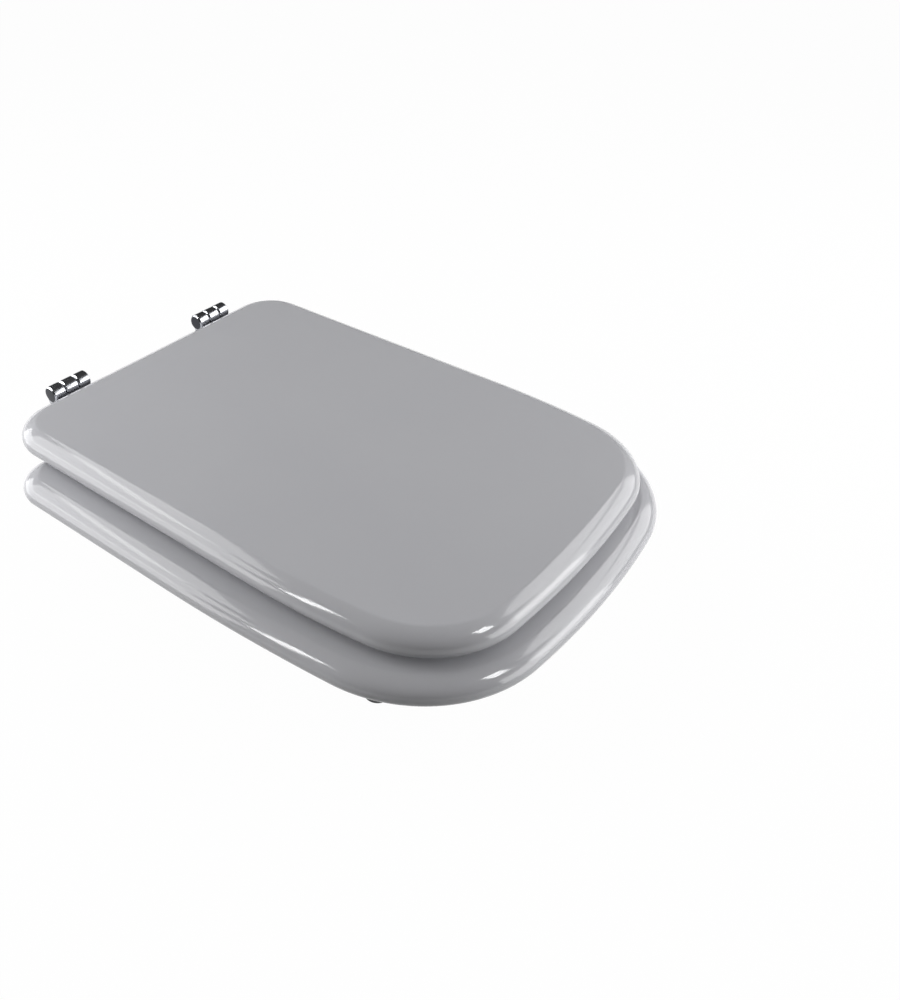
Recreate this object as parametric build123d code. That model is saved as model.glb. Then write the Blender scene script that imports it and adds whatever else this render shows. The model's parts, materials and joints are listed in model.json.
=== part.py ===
from build123d import *
import math
import os

# Toilet seat: a seat ring and a lid of thick coated board on two three-knuckle hinges.
# Millimetres. The origin lies midway between the two fixing studs, on the deck of the bowl.
# +Z is up, +Y is towards the rear and +X is the right-hand side for someone facing the bowl.

# Seat ring in plan
seat_width = 365.0
seat_length = 430.0
seat_rear_radius = 32.0
seat_corner_radius = 107.0
seat_side_bow = 1544.0  # radius of the gently bowed sides
seat_front_bow = 714.0  # radius of the gently bowed front
seat_bow_run = 247.0  # from the front edge back to where the sides run straight

# Opening of the seat ring
side_rim = 72.0
rear_rim = 75.0
front_rim = 77.0
opening_rear_radius = 70.0
opening_corner_radius = 70.0
opening_side_bow = 500.0
opening_front_bow = 160.0
opening_bow_run = 160.0

# Lid in plan
lid_width = 318.7
lid_length = 443.5
lid_rear_radius = 40.8
lid_corner_radius = 80.4
lid_side_bow = 736.0
lid_front_bow = 819.0
lid_bow_run = 166.6
lid_over_seat = 31.9  # how far the rear edge of the lid reaches behind that of the seat

# Board thickness and edges
seat_thickness = 19.0
lid_thickness = 20.0
board_gap = 5.0
seat_top_rounding = 11.5
lid_top_rounding = 12.0
opening_top_rounding = 10.0
edge_land = 0.2  # flat left between the upper and the lower rounding of an edge

# Hinge barrel
hinge_spacing = 170.0
stud_setback = 17.5  # from the stud axes back to the barrel axis
lid_setback = 7.0  # from the barrel axis forward to the rear edge of the lid
barrel_rise = 15.2  # barrel axis above the underside of the lid
barrel_radius = 7.5
middle_knuckle = 13.0
knuckle_gap = 0.3
knuckle_chamfer = 1.2
pin_radius = 3.0
pin_press = 0.02  # radial clearance in the post
pin_running = 0.06  # radial clearance in the leaves
pin_end_wall = 3.5
pin_end_gap = 0.3

# Post: middle knuckle, neck and cup in one casting
cup_top_radius = 10.0
cup_rim_radius = 11.5
cup_rim_height = 2.0
cup_height = 13.0
cup_flare_height = 6.5
cup_edge_rounding = 1.2
cup_recess_depth = 2.0
neck_width = 10.0
neck_root_radius = 6.0
neck_foot_radius = 4.5
neck_clearance = 3.0  # between the neck and the rear edge of the lid, at the elbow
neck_drop = 5.0  # elbow of the neck below the underside of the lid
bar_edge = 0.8  # rounding along the bars of the post and the leaves

# Hinge leaves
leaf_thickness = 3.5
leaf_edge = 0.7
bulge_radius = 8.5
tip_radius = 6.5
hole_spacing = 20.0
lid_leaf_width = 10.5
lid_hole_inset = 15.5  # first screw of the lid leaf, from the rear edge of the lid
bar_root_radius = 5.5
bar_radius = 3.5
bar_clearance = 1.5  # between the bars of the leaves and the rear edge of the lid
arm_width = 6.4
arm_clearance = 1.2  # between the arm of the seat leaf and the rim of the cup
arm_drop = 4.0  # elbow of the arm below the underside of the lid
bend_clearance = 5.4  # from the bend of the seat leaf to the rear edge of the seat
shoulder_start = 3.0
shoulder_run = 9.0
seat_hole_inset = 15.6  # first screw of the seat leaf, from the rear edge of the seat

# Spacer, gasket, stud and the fixings below the deck
gasket_thickness = 1.0
gasket_radius = 10.5
spacer_height = 9.0  # between the gasket and the rim of the cup
spacer_radius = 10.0
spacer_clearance = 0.2
spacer_edge = 0.5
deck_thickness = 18.0
shank_radius = 2.5
thread_radius = 2.3  # mid-height of the thread
thread_clearance = 0.05
stud_clearance = 0.5
socket_depth = 7.0
stud_end_gap = 0.5
stud_tail = 21.0  # stud below the seating face of the nut
stud_chamfer = 0.6
clamp_washer_radius = 12.0
clamp_washer_top_radius = 10.5
clamp_washer_thickness = 4.0
flat_washer_radius = 8.0
flat_washer_thickness = 1.2
nut_flange_radius = 5.5
nut_top_radius = 4.2
nut_height = 6.5
wing_span = 26.0
wing_drop = 12.0
wing_thickness = 2.4
wing_tip_radius = 3.6
wing_root_radius = 2.4

# Screws
leaf_screw_length = 15.0
leaf_screw_radius = 2.0
leaf_screw_head = 4.0
buffer_screw_length = 16.0
buffer_screw_radius = 1.75
buffer_screw_head = 3.5
screw_rim = 0.4
screw_tip = 4.0
screw_clearance = 0.1
screw_bottom_gap = 0.5

# Buffers
seat_buffer_height = 10.0
seat_buffer_radius = 10.0
seat_buffer_foot_radius = 9.0
seat_buffer_rounding = 1.5
seat_buffer_web = 5.0  # rubber between the screw head and the seat
buffer_side_inset = 30.5
buffer_front_inset = 80.0
buffer_rear_inset = 45.0
lid_buffer_radius = 7.0
lid_buffer_rounding = 1.0
lid_buffer_lift = 0.2  # left between the lid buffers and the seat
lid_buffer_inset = 54.0
lid_buffer_front = 45.0
stem_radius = 3.0
stem_length = 8.0
stem_clearance = 0.1

# Heights of the stack above the deck
seat_low = seat_buffer_height
seat_high = seat_low + seat_thickness
lid_low = seat_high + board_gap
barrel_z = lid_low + barrel_rise
cup_low = gasket_thickness + spacer_height
cup_high = cup_low + cup_height
recess_roof = cup_low + cup_recess_depth
nut_seat = -deck_thickness - clamp_washer_thickness - flat_washer_thickness

# Places in plan
hinge_x = hinge_spacing / 2
barrel_y = stud_setback
lid_rear = barrel_y - lid_setback
seat_rear = lid_rear - lid_over_seat
seat_front = seat_rear - seat_length
lid_front = lid_rear - lid_length
bend_y = seat_rear + bend_clearance
bar_y = lid_rear + bar_clearance + bar_radius
lid_holes = [lid_rear - lid_hole_inset, lid_rear - lid_hole_inset - hole_spacing]
seat_holes = [seat_rear - seat_hole_inset, seat_rear - seat_hole_inset - hole_spacing]

# Stations across one hinge, from its middle outwards
post_half = middle_knuckle / 2
side_start = post_half + knuckle_gap
arm_start = cup_rim_radius + arm_clearance
side_end = arm_start + arm_width
seat_leaf_x = hinge_x + (arm_start + side_end) / 2
lid_leaf_x = hinge_x - (side_start + side_end) / 2
bore_end = side_end - pin_end_wall


def arc_about(centre, start, end):
    """Shorter arc from start to end round a centre."""
    bisector = (start - centre).normalized() + (end - centre).normalized()
    middle = centre + bisector.normalized() * (start - centre).length
    return ThreePointArc(start, middle, end)


def board_face(width, length, rear_radius, bow_run, side_bow, corner_radius, front_bow):
    """Plan of a board: straight rear edge at y = 0, sides that bow in, round corners and a bowed front."""
    half = width / 2
    bow_start = Vector(half, bow_run - length)
    side_centre = bow_start - Vector(side_bow, 0)
    front_middle = Vector(0, -length)
    front_centre = front_middle + Vector(0, front_bow)
    # The corner arc touches the side bow and the front bow from inside.
    side_reach = side_bow - corner_radius
    front_reach = front_bow - corner_radius
    span = front_centre - side_centre
    along = (side_reach**2 - front_reach**2 + span.length**2) / (2 * span.length)
    across = math.sqrt(side_reach**2 - along**2)
    line = span.normalized()
    corner_centre = side_centre + line * along + Vector(line.Y, -line.X) * across
    side_stop = side_centre + (corner_centre - side_centre).normalized() * side_bow
    front_stop = front_centre + (corner_centre - front_centre).normalized() * front_bow
    rear_centre = Vector(half - rear_radius, -rear_radius)
    rear_start = rear_centre + Vector(0, rear_radius)
    rear_stop = rear_centre + Vector(rear_radius, 0)
    side = Curve() + [
        arc_about(rear_centre, rear_start, rear_stop),
        Line(rear_stop, bow_start),
        arc_about(side_centre, bow_start, side_stop),
        arc_about(corner_centre, side_stop, front_stop),
    ]
    rear = Line(Vector(-rear_start.X, rear_start.Y), rear_start)
    front = ThreePointArc(front_stop, front_middle, Vector(-front_stop.X, front_stop.Y))
    return make_face(side.edges() + mirror(side, about=Plane.YZ).edges() + [rear, front])


def round_edges(board, thickness, top_rounding, inner):
    """Rounds the upper and lower edges of a board, round its outline or round its opening."""
    top = board.faces().sort_by(Axis.Z)[-1]
    edges = top.inner_wires()[0].edges() if inner else top.outer_wire().edges()
    board = fillet(edges, top_rounding)
    under = board.faces().sort_by(Axis.Z)[0]
    edges = under.inner_wires()[0].edges() if inner else under.outer_wire().edges()
    return fillet(edges, thickness - top_rounding - edge_land)


def turned(points, x, y):
    """Solid of revolution from (radius, height) points, about the upright line through x and y."""
    profile = make_face(Plane.XZ * Polyline(*points, close=True))
    return Pos(x, y, 0) * revolve(profile, Axis.Z)


def ring(outer, inner, low, high, x, y):
    """Flat ring about the upright line through x and y."""
    return turned([(inner, low), (outer, low), (outer, high), (inner, high)], x, y)


def screw(length, radius, head, x, y, z):
    """Countersunk wood screw that points up, with its head face at z."""
    points = [
        (0, z),
        (head, z),
        (head, z + screw_rim),
        (radius, z + screw_rim + head - radius),
        (radius, z + length - screw_tip),
        (0, z + length),
    ]
    return turned(points, x, y)


def screw_hole(length, radius, head, x, y, z, entry):
    """Cutter for the hole of such a screw: its form with a clearance, carried on below its head."""
    wide = head + screw_clearance
    narrow = radius + screw_clearance
    bottom = z + length + screw_bottom_gap
    points = [
        (0, z - entry),
        (wide, z - entry),
        (wide, z + screw_rim),
        (narrow, z + screw_rim + head - radius),
        (narrow, bottom),
        (0, bottom),
    ]
    return turned(points, x, y)


def knuckle(start, end):
    """One knuckle of the barrel of the right hinge, between two stations across it."""
    disc = Plane.YZ.offset(hinge_x + start) * Pos(barrel_y, barrel_z) * Circle(barrel_radius)
    body = extrude(disc, end - start)
    return chamfer(body.edges().filter_by(GeomType.CIRCLE), knuckle_chamfer)


def pin_bore(start, end, clearance):
    """Round cutter on the barrel axis, between two stations across the right hinge."""
    disc = Plane.YZ.offset(hinge_x + start) * Pos(barrel_y, barrel_z) * Circle(pin_radius + clearance)
    return extrude(disc, end - start)


def side_bar(start, end, root_radius, *knees):
    """Tapered bar down from the barrel axis with round edges, seen from the side a chain of hulls of circles.

    Each knee is the place and radius (y, z, radius) of a circle that the bar passes.
    """
    chain = [(barrel_y, barrel_z, root_radius), *knees]
    circles = [Pos(y, z) * Circle(radius) for y, z, radius in chain]
    runs = [make_hull([*upper.edges(), *lower.edges()]) for upper, lower in zip(circles, circles[1:])]
    profile = Sketch() + runs
    bar = extrude(Plane.YZ.offset(hinge_x + start) * profile, end - start)
    rims = bar.faces().filter_by(Axis.X).edges()
    return fillet(rims, bar_edge)


def tapered_tongue(x, holes):
    """Plan of a leaf round its two screws: full at the first and narrower at the tip."""
    full = Pos(x, holes[0]) * Circle(bulge_radius)
    tip = Pos(x, holes[1]) * Circle(tip_radius)
    return make_hull([*full.edges(), *tip.edges()])


def leaf_plate(plan, low):
    """Flat leaf with its lower edge bevelled."""
    plate = Pos(0, 0, low) * extrude(plan, leaf_thickness)
    return chamfer(plate.faces().sort_by(Axis.Z)[0].edges(), leaf_edge)


def leaf_screws(x, holes, low):
    """Screws of one leaf, with their heads flush in its lower face."""
    sizes = (leaf_screw_length, leaf_screw_radius, leaf_screw_head)
    return [screw(*sizes, x, y, low) for y in holes]


def leaf_holes(x, holes, low):
    """Cutters for the screws of one leaf, through the leaf into its board."""
    sizes = (leaf_screw_length, leaf_screw_radius, leaf_screw_head)
    return [screw_hole(*sizes, x, y, low, leaf_thickness) for y in holes]


def mirrored(solids):
    """The solids of the right side and their mirror images on the left."""
    return solids + [mirror(solid, about=Plane.YZ) for solid in solids]


# Screws of the leaves and the cutters for their holes
seat_leaf_low = seat_low - leaf_thickness
lid_leaf_low = lid_low - leaf_thickness
seat_leaf_cuts = leaf_holes(seat_leaf_x, seat_holes, seat_leaf_low)
lid_leaf_cuts = leaf_holes(lid_leaf_x, lid_holes, lid_leaf_low)
seat_leaf_screws = mirrored(leaf_screws(seat_leaf_x, seat_holes, seat_leaf_low))
lid_leaf_screws = mirrored(leaf_screws(lid_leaf_x, lid_holes, lid_leaf_low))

# Buffers under the outer half of the rim, with a screw sunk into each
seat_buffer_x = seat_width / 2 - buffer_side_inset
seat_buffer_y = {"front": seat_front + buffer_front_inset, "rear": seat_rear - buffer_rear_inset}
head_depth = screw_rim + buffer_screw_head - buffer_screw_radius
head_z = seat_buffer_height - seat_buffer_web - head_depth
buffer_sizes = (buffer_screw_length, buffer_screw_radius, buffer_screw_head, seat_buffer_x)
buffer_screws = mirrored([screw(*buffer_sizes, y, head_z) for y in seat_buffer_y.values()])
buffer_cuts = {
    row: screw_hole(*buffer_sizes, y, head_z, seat_buffer_height) for row, y in seat_buffer_y.items()
}


def make_seat_ring():
    """Ring with round edges outside and in, and blind holes for its screws."""
    plan = board_face(
        seat_width,
        seat_length,
        seat_rear_radius,
        seat_bow_run,
        seat_side_bow,
        seat_corner_radius,
        seat_front_bow,
    )
    opening = board_face(
        seat_width - 2 * side_rim,
        seat_length - rear_rim - front_rim,
        opening_rear_radius,
        opening_bow_run,
        opening_side_bow,
        opening_corner_radius,
        opening_front_bow,
    )
    board = extrude(plan, seat_thickness) - extrude(Pos(0, -rear_rim) * opening, seat_thickness)
    board = round_edges(board, seat_thickness, seat_top_rounding, inner=False)
    board = round_edges(board, seat_thickness, opening_top_rounding, inner=True)
    return Pos(0, seat_rear, seat_low) * board - mirrored(seat_leaf_cuts + list(buffer_cuts.values()))


def make_lid():
    """Lid board with round edges, and blind holes for its screws and buffer stems."""
    plan = board_face(
        lid_width,
        lid_length,
        lid_rear_radius,
        lid_bow_run,
        lid_side_bow,
        lid_corner_radius,
        lid_front_bow,
    )
    board = round_edges(extrude(plan, lid_thickness), lid_thickness, lid_top_rounding, inner=False)
    stem_hole = lid_stem(stem_clearance, stem_length + screw_bottom_gap)
    return Pos(0, lid_rear, lid_low) * board - mirrored(lid_leaf_cuts + [stem_hole])


def lid_stem(clearance, length):
    """Stem of the right lid buffer, or with a clearance its hole."""
    x = lid_width / 2 - lid_buffer_inset
    y = lid_front + lid_buffer_front
    return ring(stem_radius + clearance, 0, lid_low, lid_low + length, x, y)


def make_lid_buffer():
    """Round rubber button with a stem pushed into the lid."""
    stem = lid_stem(0, stem_length)
    centre = stem.center()
    button = ring(lid_buffer_radius, 0, seat_high + lid_buffer_lift, lid_low, centre.X, centre.Y)
    return fillet(button.edges().group_by(Axis.Z)[0], lid_buffer_rounding) + stem


def make_seat_buffer(row):
    """Tapered rubber foot, held by a screw sunk into it."""
    points = [
        (0, 0),
        (seat_buffer_foot_radius, 0),
        (seat_buffer_radius, seat_buffer_height),
        (0, seat_buffer_height),
    ]
    foot = turned(points, seat_buffer_x, seat_buffer_y[row])
    return fillet(foot.edges().group_by(Axis.Z)[0], seat_buffer_rounding) - buffer_cuts[row]


def make_post():
    """Middle knuckle, sloping neck and the cup that covers the spacer."""
    cup_points = [
        (0, recess_roof),
        (spacer_radius + spacer_clearance, recess_roof),
        (spacer_radius + spacer_clearance, cup_low),
        (cup_rim_radius, cup_low),
        (cup_rim_radius, cup_low + cup_rim_height),
        (cup_top_radius, cup_low + cup_flare_height),
        (cup_top_radius, cup_high),
        (0, cup_high),
    ]
    cup = turned(cup_points, hinge_x, 0)
    cup = fillet(cup.edges().group_by(Axis.Z)[-1], cup_edge_rounding)
    elbow = (lid_rear + neck_clearance + neck_foot_radius, lid_low - neck_drop, neck_foot_radius)
    foot = (cup_top_radius - neck_foot_radius, cup_low + cup_flare_height, neck_foot_radius)
    neck = side_bar(-neck_width / 2, neck_width / 2, neck_root_radius, elbow, foot)
    socket = ring(thread_radius + thread_clearance, 0, cup_low, recess_roof + socket_depth, hinge_x, 0)
    return cup + neck + knuckle(-post_half, post_half) - pin_bore(-post_half, post_half, pin_press) - socket


def make_seat_leaf():
    """Outer knuckle, cranked arm down to the underside of the seat, and a shouldered plate."""
    half_arm = arm_width / 2
    wide_y = bend_y - shoulder_start - shoulder_run
    right_side = [
        (half_arm, bend_y),
        (half_arm, bend_y - shoulder_start),
        (bulge_radius, wide_y),
        (bulge_radius, seat_holes[0]),
    ]
    left_side = [(-x, y) for x, y in reversed(right_side)]
    shoulders = Pos(seat_leaf_x, 0) * make_face(Polyline(*right_side, *left_side, close=True))
    plate = leaf_plate(shoulders + tapered_tongue(seat_leaf_x, seat_holes), seat_leaf_low)
    elbow = (bar_y, lid_low - arm_drop, bar_radius)
    bend = (bend_y, seat_low - leaf_thickness / 2, leaf_thickness / 2)
    arm = side_bar(arm_start, side_end, bar_root_radius, elbow, bend)
    barrel = knuckle(side_start, side_end)
    return barrel + arm + plate - pin_bore(side_start, bore_end, pin_running) - seat_leaf_cuts


def make_lid_leaf():
    """Inner knuckle, a short bar down behind the lid, and a flat plate along the underside of the lid."""
    strip_length = bar_y - lid_holes[0]
    strip = Pos(lid_leaf_x, bar_y - strip_length / 2) * Rectangle(lid_leaf_width, strip_length)
    plate = leaf_plate(strip + tapered_tongue(lid_leaf_x, lid_holes), lid_leaf_low)
    bar_middle = lid_leaf_x - hinge_x
    heel = (bar_y, lid_leaf_low + bar_radius, bar_radius)
    bar = side_bar(bar_middle - lid_leaf_width / 2, bar_middle + lid_leaf_width / 2, bar_root_radius, heel)
    barrel = knuckle(-side_end, -side_start)
    return barrel + bar + plate - pin_bore(-bore_end, -side_start, pin_running) - lid_leaf_cuts


def make_pin():
    """Plain pin through the post into both leaves."""
    reach = bore_end - pin_end_gap
    return pin_bore(-reach, reach, 0)


def make_stud():
    """Double-ended stud: threads above and below, and a plain shank through the deck."""
    shank_low = stud_end_gap - deck_thickness
    low = nut_seat - stud_tail
    points = [
        (0, low),
        (thread_radius - stud_chamfer, low),
        (thread_radius, low + stud_chamfer),
        (thread_radius, shank_low),
        (shank_radius, shank_low),
        (shank_radius, 0),
        (thread_radius, 0),
        (thread_radius, recess_roof + socket_depth - stud_end_gap),
        (0, recess_roof + socket_depth - stud_end_gap),
    ]
    return turned(points, hinge_x, 0)


def make_spacer():
    """Plastic collar between the gasket and the roof of the cup."""
    collar = ring(spacer_radius, shank_radius + stud_clearance, gasket_thickness, recess_roof, hinge_x, 0)
    return chamfer(collar.edges().group_by(Axis.Z)[0].sort_by(SortBy.LENGTH)[-1], spacer_edge)


def make_clamp_washer():
    """Slightly conical rubber washer that bears on the underside of the deck."""
    low = -deck_thickness - clamp_washer_thickness
    inner = thread_radius + stud_clearance
    points = [
        (inner, low),
        (clamp_washer_radius, low),
        (clamp_washer_top_radius, -deck_thickness),
        (inner, -deck_thickness),
    ]
    return turned(points, hinge_x, 0)


def make_wing_nut():
    """Wing nut: a conical boss with two upswept wings, turned wings down."""
    bore = thread_radius + thread_clearance
    low = nut_seat - nut_height
    boss = turned([(0, low), (nut_top_radius, low), (nut_flange_radius, nut_seat), (0, nut_seat)], hinge_x, 0)
    root = Pos(nut_top_radius - wing_root_radius / 2, nut_seat - nut_height / 2) * Circle(wing_root_radius)
    tip_x = wing_span / 2 - wing_tip_radius
    tip = Pos(tip_x, nut_seat - wing_drop + wing_tip_radius) * Circle(wing_tip_radius)
    wing = extrude(Plane.XZ * make_hull([*root.edges(), *tip.edges()]), wing_thickness / 2, both=True)
    wings = [Pos(hinge_x, 0, 0) * wing, Pos(hinge_x, 0, 0) * Rot(0, 0, 180) * wing]
    return boss + wings - ring(bore, 0, nut_seat - wing_drop, nut_seat, hinge_x, 0)


parts = {
    "seat_ring": make_seat_ring(),
    "lid_board": make_lid(),
    "seat_leaf_screws": Compound(seat_leaf_screws),
    "lid_leaf_screws": Compound(lid_leaf_screws),
    "seat_buffer_screws": Compound(buffer_screws),
}
right_pieces = {
    "post": make_post(),
    "hinge_pin": make_pin(),
    "seat_leaf": make_seat_leaf(),
    "lid_leaf": make_lid_leaf(),
    "spacer": make_spacer(),
    "gasket": ring(gasket_radius, shank_radius + stud_clearance, 0, gasket_thickness, hinge_x, 0),
    "stud": make_stud(),
    "clamp_washer": make_clamp_washer(),
    "flat_washer": ring(
        flat_washer_radius,
        thread_radius + stud_clearance,
        nut_seat,
        nut_seat + flat_washer_thickness,
        hinge_x,
        0,
    ),
    "wing_nut": make_wing_nut(),
    "front_buffer": make_seat_buffer("front"),
    "rear_buffer": make_seat_buffer("rear"),
    "lid_buffer": make_lid_buffer(),
}
for name, solid in right_pieces.items():
    parts["right_" + name] = solid
    parts["left_" + name] = mirror(solid, about=Plane.YZ)

os.makedirs("parts", exist_ok=True)
for name, solid in parts.items():
    export_step(solid, f"parts/{name}.step")
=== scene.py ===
"""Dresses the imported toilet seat: gloss boards, chrome hinges, rubber buffers and zinc fixings.

Shapes are in millimetres until they become meshes. The finishes and the studio are in metres.
"""

import json
import logging
import math
from collections.abc import Sequence
from dataclasses import dataclass
from enum import Enum

import bmesh
import bpy
import numpy as np
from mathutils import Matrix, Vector


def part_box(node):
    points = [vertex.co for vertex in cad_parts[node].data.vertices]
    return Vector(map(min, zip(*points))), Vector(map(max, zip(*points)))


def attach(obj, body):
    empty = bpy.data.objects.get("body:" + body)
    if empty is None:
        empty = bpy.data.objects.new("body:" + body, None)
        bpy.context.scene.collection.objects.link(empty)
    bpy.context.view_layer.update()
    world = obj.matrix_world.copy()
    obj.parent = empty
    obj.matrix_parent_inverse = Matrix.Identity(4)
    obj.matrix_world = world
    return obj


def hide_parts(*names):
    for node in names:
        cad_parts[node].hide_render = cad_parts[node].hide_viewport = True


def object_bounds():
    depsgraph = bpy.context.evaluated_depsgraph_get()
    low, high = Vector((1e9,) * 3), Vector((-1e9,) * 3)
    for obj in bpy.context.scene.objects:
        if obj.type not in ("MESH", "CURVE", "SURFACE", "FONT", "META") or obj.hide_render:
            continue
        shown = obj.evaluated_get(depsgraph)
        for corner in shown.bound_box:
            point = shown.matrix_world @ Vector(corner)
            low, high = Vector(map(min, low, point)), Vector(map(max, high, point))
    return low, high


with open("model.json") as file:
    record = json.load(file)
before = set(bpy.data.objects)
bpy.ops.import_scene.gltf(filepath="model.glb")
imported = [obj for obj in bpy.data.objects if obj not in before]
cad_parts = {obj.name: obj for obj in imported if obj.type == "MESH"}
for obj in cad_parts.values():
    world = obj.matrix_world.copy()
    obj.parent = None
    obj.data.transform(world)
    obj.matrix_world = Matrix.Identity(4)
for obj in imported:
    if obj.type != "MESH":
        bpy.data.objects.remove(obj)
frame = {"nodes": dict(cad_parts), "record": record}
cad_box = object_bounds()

log = logging.getLogger("toilet_seat")

Colour = tuple[float, float, float]
Pair = tuple[float, float]
Round = tuple[float, float, float]

MM = 0.001
SHARP_DEGREES = 32.0
ARC_SAMPLES = 96
ROUNDING_STEPS = 5
CUTTER_AROUND = 48
WELD = 2e-6
CENTRE = (0.0, 0.0)
ROWS = ("front", "rear")
WHITE = (1.0, 1.0, 1.0, 1.0)


class Side(Enum):
    """Half of the seat, for someone facing the bowl."""

    RIGHT = 1
    LEFT = -1

    @property
    def prefix(self) -> str:
        """First word of the names of this half's pieces."""
        return self.name.lower()


class Stand(Enum):
    """How a turned or cut shape stands: which of its own (a, b, height) axes become x, y and z."""

    UPRIGHT = (0, 1, 2)
    ACROSS = (2, 0, 1)
    ALONG = (0, 2, 1)


class Join(Enum):
    """What a second solid does to the first."""

    ADD = "UNION"
    CUT = "DIFFERENCE"


class Body(Enum):
    """Bodies of the frame that pieces ride on."""

    POSTS = "hinge_posts"
    SEAT = "seat"
    LID = "lid"


# Shapes


@dataclass(frozen=True)
class Shell:
    """Closed surface as arrays: points in millimetres, four-sided faces, and flat many-sided caps."""

    points: np.ndarray
    quads: np.ndarray
    caps: tuple[np.ndarray, ...] = ()

    def volume(self) -> float:
        """Signed volume: a sixth of the sum of the triple products of the corners of fans over all faces.

        Returns:
            The volume, which is negative where the faces point inwards.
        """
        fans = [self.quads[:, [0, 1, 2]], self.quads[:, [0, 2, 3]]]
        fans += [np.column_stack([np.full(len(cap) - 2, cap[0]), cap[1:-1], cap[2:]]) for cap in self.caps]
        first, second, third = (self.points[np.vstack(fans)[:, corner]] for corner in range(3))
        return float(np.einsum("ij,ij->i", first, np.cross(second, third)).sum() / 6)

    def outward(self) -> "Shell":
        """The same surface with its faces turned outwards."""
        if self.volume() > 0:
            return self
        return Shell(self.points, self.quads[:, ::-1], tuple(cap[::-1] for cap in self.caps))

    def mirrored(self, side: Side) -> "Shell":
        """The surface on the given half: x changes sign on the left."""
        return Shell(self.points * (side.value, 1, 1), self.quads, self.caps).outward()

    def moved(self, x: float = 0.0, y: float = 0.0, z: float = 0.0) -> "Shell":
        """The surface shifted by the given amounts."""
        return Shell(self.points + (x, y, z), self.quads, self.caps)


def stacked(rings: np.ndarray, closed: bool = False) -> Shell:
    """Closed surface through a stack of rings of points.

    Neighbouring rings are joined by four-sided faces. Then either the last ring is joined to the first,
    or each end ring is filled by one flat cap.

    Args:
        rings: Points, indexed by ring, place round the ring and axis.
        closed: Whether the stack runs round to its first ring.

    Returns:
        The surface with its faces outwards.
    """
    count, around = rings.shape[:2]
    index = np.arange(count * around).reshape(count, around)
    lower = index if closed else index[:-1]
    upper = np.roll(index, -1, axis=0) if closed else index[1:]
    corners = [lower, np.roll(lower, -1, axis=1), np.roll(upper, -1, axis=1), upper]
    quads = np.stack(corners, axis=-1).reshape(-1, 4)
    caps = () if closed else (index[0][::-1], index[-1])
    return Shell(rings.reshape(-1, 3), quads, caps).outward()


@dataclass(frozen=True)
class Arc:
    """Round stretch of an outline, about a centre from one angle of its normal to another, in radians.

    The radius is negative for an inward arc.
    """

    centre: Pair
    radius: float
    start: float
    stop: float

    def sample(self) -> tuple[np.ndarray, np.ndarray]:
        """Points and outward normals along the arc: centre plus radius times (cosine, sine)."""
        angles = np.linspace(self.start, self.stop, ARC_SAMPLES)
        normals = np.column_stack([np.cos(angles), np.sin(angles)])
        return np.array(self.centre) + self.radius * normals, normals


@dataclass(frozen=True)
class Outline:
    """Closed outline of arcs in order, with straight runs from the end of each to the start of the next."""

    arcs: tuple[Arc, ...]

    def around(self, count: int) -> tuple[np.ndarray, np.ndarray]:
        """Evenly spaced points and outward normals.

        The arcs' samples are joined into one loop, its length is added up, and points and normals are
        read off at equal steps of that length.

        Args:
            count: Number of points round the outline.

        Returns:
            Points and unit normals, one row for each point.
        """
        samples = [arc.sample() for arc in self.arcs]
        points = np.vstack([point for point, _ in samples])
        normals = np.vstack([normal for _, normal in samples])
        points = np.vstack([points, points[:1]])
        normals = np.vstack([normals, normals[:1]])
        length = np.concatenate([[0.0], np.cumsum(np.hypot(*np.diff(points, axis=0).T))])
        stations = np.linspace(0.0, length[-1], count, endpoint=False)
        spaced = np.column_stack([np.interp(stations, length, column) for column in points.T])
        facing = np.column_stack([np.interp(stations, length, column) for column in normals.T])
        return spaced, facing / np.linalg.norm(facing, axis=1, keepdims=True)


def corner_arc(before: Pair, place: Pair, after: Pair, radius: float) -> Arc:
    """Arc that rounds the corner of an anticlockwise outline, inward or outward.

    It touches both sides of the corner, each at the radius times the tangent of half the turn from the
    corner. The arc's radius is negative where the outline turns clockwise, so that its normals still
    point outwards.

    Args:
        before: Point before the corner.
        place: The corner.
        after: Point after the corner.
        radius: Radius of the rounding.

    Returns:
        The arc.
    """
    arrive = np.subtract(place, before) / math.dist(place, before)
    leave = np.subtract(after, place) / math.dist(after, place)
    turn = math.atan2(arrive[0] * leave[1] - arrive[1] * leave[0], float(arrive @ leave))
    normal = np.array([arrive[1], -arrive[0]])
    signed = math.copysign(radius, turn)
    touch = np.array(place) - arrive * radius * math.tan(abs(turn) / 2)
    begin = math.atan2(normal[1], normal[0])
    return Arc(tuple(touch - normal * signed), signed, begin, begin + turn)


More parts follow.
